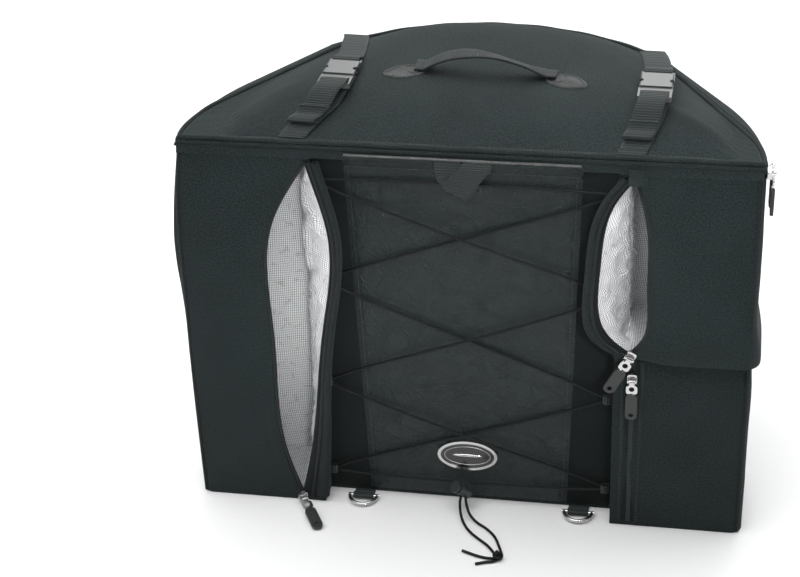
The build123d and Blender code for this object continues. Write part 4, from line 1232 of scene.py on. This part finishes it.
# ------------------------------------------------------------------ cords
def curve_through(name, points, radius, material):
    """Smooth bevelled NURBS line with the given control points."""
    data = bpy.data.curves.new(name, "CURVE")
    data.dimensions = "3D"
    data.resolution_u = 12
    data.bevel_depth = radius * MM
    data.bevel_resolution = 4
    data.use_fill_caps = True
    line = data.splines.new("NURBS")
    line.points.add(len(points) - 1)
    for point, place in zip(line.points, points):
        point.co = (*[c * MM for c in place], 1)
    line.order_u = 3
    line.use_endpoint_u = True
    data.materials.append(material)
    thing = bpy.data.objects.new(name, data)
    bpy.context.scene.collection.objects.link(thing)
    return thing


def lacing_points():
    levels = LOOP_LEVELS
    x, half, lift, over = 134.0, 4.5, 2.4, 6.4

    def turn(side, level, upwards):
        ups = (level - half, level + half) if upwards else (level + half, level - half)
        return [on_panel(side * x, up, lift) for up in ups]

    def hump(level, side):
        return [on_panel(side * way * 10, level + way * 3.6, over) for way in (1, -1)]

    route = [on_panel(-9, levels[3] - half + 0.3, lift + 3.2)]
    route += turn(-1, levels[3], True) + turn(1, levels[2], True)
    route += turn(-1, levels[1], True) + turn(1, levels[0], True)
    route += turn(-1, levels[0], False)
    route += hump((levels[0] + levels[1]) / 2, -1)
    route += turn(1, levels[1], False)
    route += hump((levels[1] + levels[2]) / 2, 1)
    route += turn(-1, levels[2], False)
    route += hump((levels[2] + levels[3]) / 2, -1)
    route += turn(1, levels[3], False)
    return route + [on_panel(3, levels[3] - half + 0.3, lift + 3.2)]


F = 1.5                     # height of a cord's centre on the floor
TAIL_1 = [(-4.2, -148.2, 19.1), (-5, -151.6, 16.5), (-4.5, -156.5, 11), (-3, -162, 5.5), (1, -170, F),
          (8, -181, F), (19, -191, F), (30, -200, F), (37, -211, F)]
TAIL_2 = [(0, -147.5, 17.8), (0.5, -151.6, 16), (2.5, -156, 11), (5.5, -160.5, 5.5), (13, -166.5, F),
          (24, -174, F), (33, -184, F), (38.5, -196, F), (43, -209, F)]
END_1 = [(39, -216.4, F), (35, -217, F), (26, -216.5, F), (16, -213.5, F), (5, -209, F)]
END_2 = [(39.5, -218.5, F), (36, -221.5, F), (29, -222.5, F), (20, -226.5, F)]
KNOT_AT = np.array([40.5, -216, 5.0])

def make_cord(name, points, *nodes):
    return settle(curve_through(name, points, CORD_D / 2, CORD), "bag", "bungee_cord", *nodes)


make_cord("lacing_cord", lacing_points(), "bungee_cord")
tails = [make_cord("cord_tail_1", TAIL_1, "bungee_tail_1"), make_cord("cord_tail_2", TAIL_2, "bungee_tail_2")]
ends = [make_cord("cord_end_1", END_1, "tail_ends"), make_cord("cord_end_2", END_2)]


def make_knot():
    """Overhand knot: three turns of cord pulled tight round each other."""
    t = np.linspace(0, TAU, 120, endpoint=False)
    radius = 2.6 + 1.0 * np.cos(3 * t)
    path = np.column_stack([radius * np.cos(2 * t) * 1.15, radius * np.sin(2 * t), 1.9 * np.sin(3 * t)])
    turn = Matrix.Rotation(math.radians(35), 3, "Y") @ Matrix.Rotation(math.radians(20), 3, "X")
    path = path @ np.array(turn).T + KNOT_AT + np.array([0, 0, 0.3])
    path[:, 2] = np.maximum(path[:, 2], F)
    return tube("cord_knot", path, CORD_D / 2, CORD, closed=True, sides=12)


knot = settle(make_knot(), "bag", "bungee_cord", "tail_knot")


# ------------------------------------------------------------------ hardware: CAD nodes that stay
def finish_node(node, material):
    mesh = NODES[node].data
    mesh.materials.clear()
    mesh.materials.append(material)


HARD_NODES = [
    (BOARD, ["base_board"]),
    (LOCK_PLASTIC, ["cord_lock_barrel", "cord_lock_plunger"]),
    (STEEL, ["cord_lock_spring"]),
    (ENAMEL, ["badge_inlay"]),
    (CHROME, ["lower_right_slider", "upper_right_slider", "left_slider", "main_slider_1", "main_slider_2",
              "badge_rim", "d_ring_left", "d_ring_right"]),
]
for word in STRAPS:
    stems = "female_{}", "male_{}", "arm_{}_inner", "arm_{}_outer"
    HARD_NODES.append((BUCKLE, ["buckle_" + stem.format(word) for stem in stems]))
for finish, hard_nodes in HARD_NODES:
    for hard_node in hard_nodes:
        finish_node(hard_node, finish)


def finish_pull(node, bar):
    """The tab near the slider's bar is plated, the tag beyond it is rubber."""
    mesh = NODES[node].data
    mesh.materials.clear()
    mesh.materials.append(CHROME)
    mesh.materials.append(RUBBER)
    centres = np.array([tuple(p.center) for p in mesh.polygons]) / MM
    far = np.linalg.norm(centres - np.array(bar), axis=1) > 14.2
    mesh.polygons.foreach_set("material_index", far.astype(np.int32))


def rim_bar(turn):
    """Bar of a main slider, at an angle round the side's curve."""
    a, radius = math.radians(turn), SIDE_RADIUS + 6.3
    return SIDE_CENTRE + math.cos(a) * radius, BODY_FRONT + math.sin(a) * radius, 374.0


for pull_node, pull_bar in {
    "lower_right_pull": (LOWER_ZIP_X, -157.3, 177),
    "upper_right_pull": (156.5, -162.9, 206),
    "left_pull": (-160.4, -159.1, 7.6),
    "main_pull_1": rim_bar(1.9),
    "main_pull_2": rim_bar(5.5),
}.items():
    finish_pull(pull_node, pull_bar)


def make_emblem():
    """Plain generic mark on the badge: one tapered bar inside a thin oval."""
    angles = np.linspace(0, TAU, 72, endpoint=False)
    ring = [on_panel(22.5 * math.cos(a), BADGE_UP + 10.6 * math.sin(a), 1.9) for a in angles]
    oval = tube("badge_oval", ring, 0.35, CHROME, up=tuple(PANEL_OUT), closed=True, sides=6)
    settle(oval, "bag", "plated_metal")
    xs = np.linspace(-15, 15, 40)
    radii = 2.0 * np.sqrt(np.clip(1 - (xs / 15.1) ** 2, 0.01, 1))
    line = [on_panel(x, BADGE_UP, 1.2) for x in xs]
    settle(tube("badge_bar", line, radii, CHROME, up=tuple(PANEL_OUT), sides=12), "bag", "plated_metal")


make_emblem()


def make_garage():
    """Small sewn cloth tab above the upper right mouth."""
    z = np.linspace(363.5, 376.5, 24)
    y = np.minimum(UPPER.front(np.minimum(z, 371)) - 3.0, -117.0)
    path = np.column_stack([np.full(24, 156.5), y, z])
    settle(ribbon("mouth_tab_upper", resample(path, 0.7), (1, 0, 0), 16, 1.0, TWILL, rib=0.0), "bag", "twill")


make_garage()

# ------------------------------------------------------------------ floor, light and camera
floor_mesh = bpy.data.meshes.new("floor")
floor_mesh.from_pydata([(-9, -7, -0.0004), (9, -7, -0.0004), (9, 16, -0.0004), (-9, 16, -0.0004)], [],
                       [(0, 1, 2, 3)])
floor = bpy.data.objects.new("floor", floor_mesh)
bpy.context.scene.collection.objects.link(floor)
pale = Shader("floor_paper", (0.95, 0.95, 0.95), 0.9)
floor_mesh.materials.append(pale.material)

world = bpy.data.worlds.new("studio")
world.use_nodes = True
world.node_tree.nodes["Background"].inputs["Color"].default_value = (0.96, 0.98, 1.0, 1)
world.node_tree.nodes["Background"].inputs["Strength"].default_value = 0.17
bpy.context.scene.world = world


def softbox(name, place, target, size, power, colour=(1, 1, 1)):
    light = bpy.data.lights.new(name, "AREA")
    light.shape = "RECTANGLE"
    light.size, light.size_y = size
    light.energy = power
    light.color = colour
    thing = bpy.data.objects.new(name, light)
    thing.location = place
    thing.rotation_euler = (Vector(target) - Vector(place)).to_track_quat("-Z", "Y").to_euler()
    bpy.context.scene.collection.objects.link(thing)
    return thing


softbox("key", (-0.3, 0.2, 3.1), (-0.1, 0, 0.2), (5.0, 4.4), 192)
softbox("front_fill", (-1.6, -2.4, 1.5), (0, 0, 0.15), (1.2, 1.2), 6)
softbox("right_rim", (2.2, 0.4, 1.2), (0, 0, 0.25), (1.0, 1.4), 3)
for name, place, target in (("left_mouth_light", (0.3, -1.5, 1.15), (-0.155, -0.1, 0.2)),
                            ("right_mouth_light", (0.55, -1.5, 1.15), (0.155, -0.12, 0.27))):
    lamp = softbox(name, place, target, (0.25, 0.25), 0.14)
    lamp.data.spread = math.radians(12)
softbox("back_light", (0.3, 2.9, 2.1), (0, 0, 0.35), (2.6, 1.2), 32)

YAW, PITCH, ROLL = math.radians(11.2), math.radians(33.1), math.radians(-2.7)
AIM = Vector((-63.3, -110.0, 233.0)) * MM
DISTANCE = 1.7762
back = Vector((math.sin(YAW) * math.cos(PITCH), -math.cos(YAW) * math.cos(PITCH), math.sin(PITCH)))
right = Vector((math.cos(YAW), math.sin(YAW), 0))
up = back.cross(right)
rolled_right = right * math.cos(ROLL) + up * math.sin(ROLL)
rolled_up = up * math.cos(ROLL) - right * math.sin(ROLL)
camera_data = bpy.data.cameras.new("camera")
camera_data.lens = 84.78
camera_data.sensor_width = 36.0
camera_data.clip_end = 60.0
camera = bpy.data.objects.new("camera", camera_data)
turned = Matrix((rolled_right, rolled_up, back)).transposed().to_4x4()
camera.matrix_world = Matrix.Translation(AIM + back * DISTANCE) @ turned
bpy.context.scene.collection.objects.link(camera)
bpy.context.scene.camera = camera
bpy.context.scene.view_settings.view_transform = "Standard"
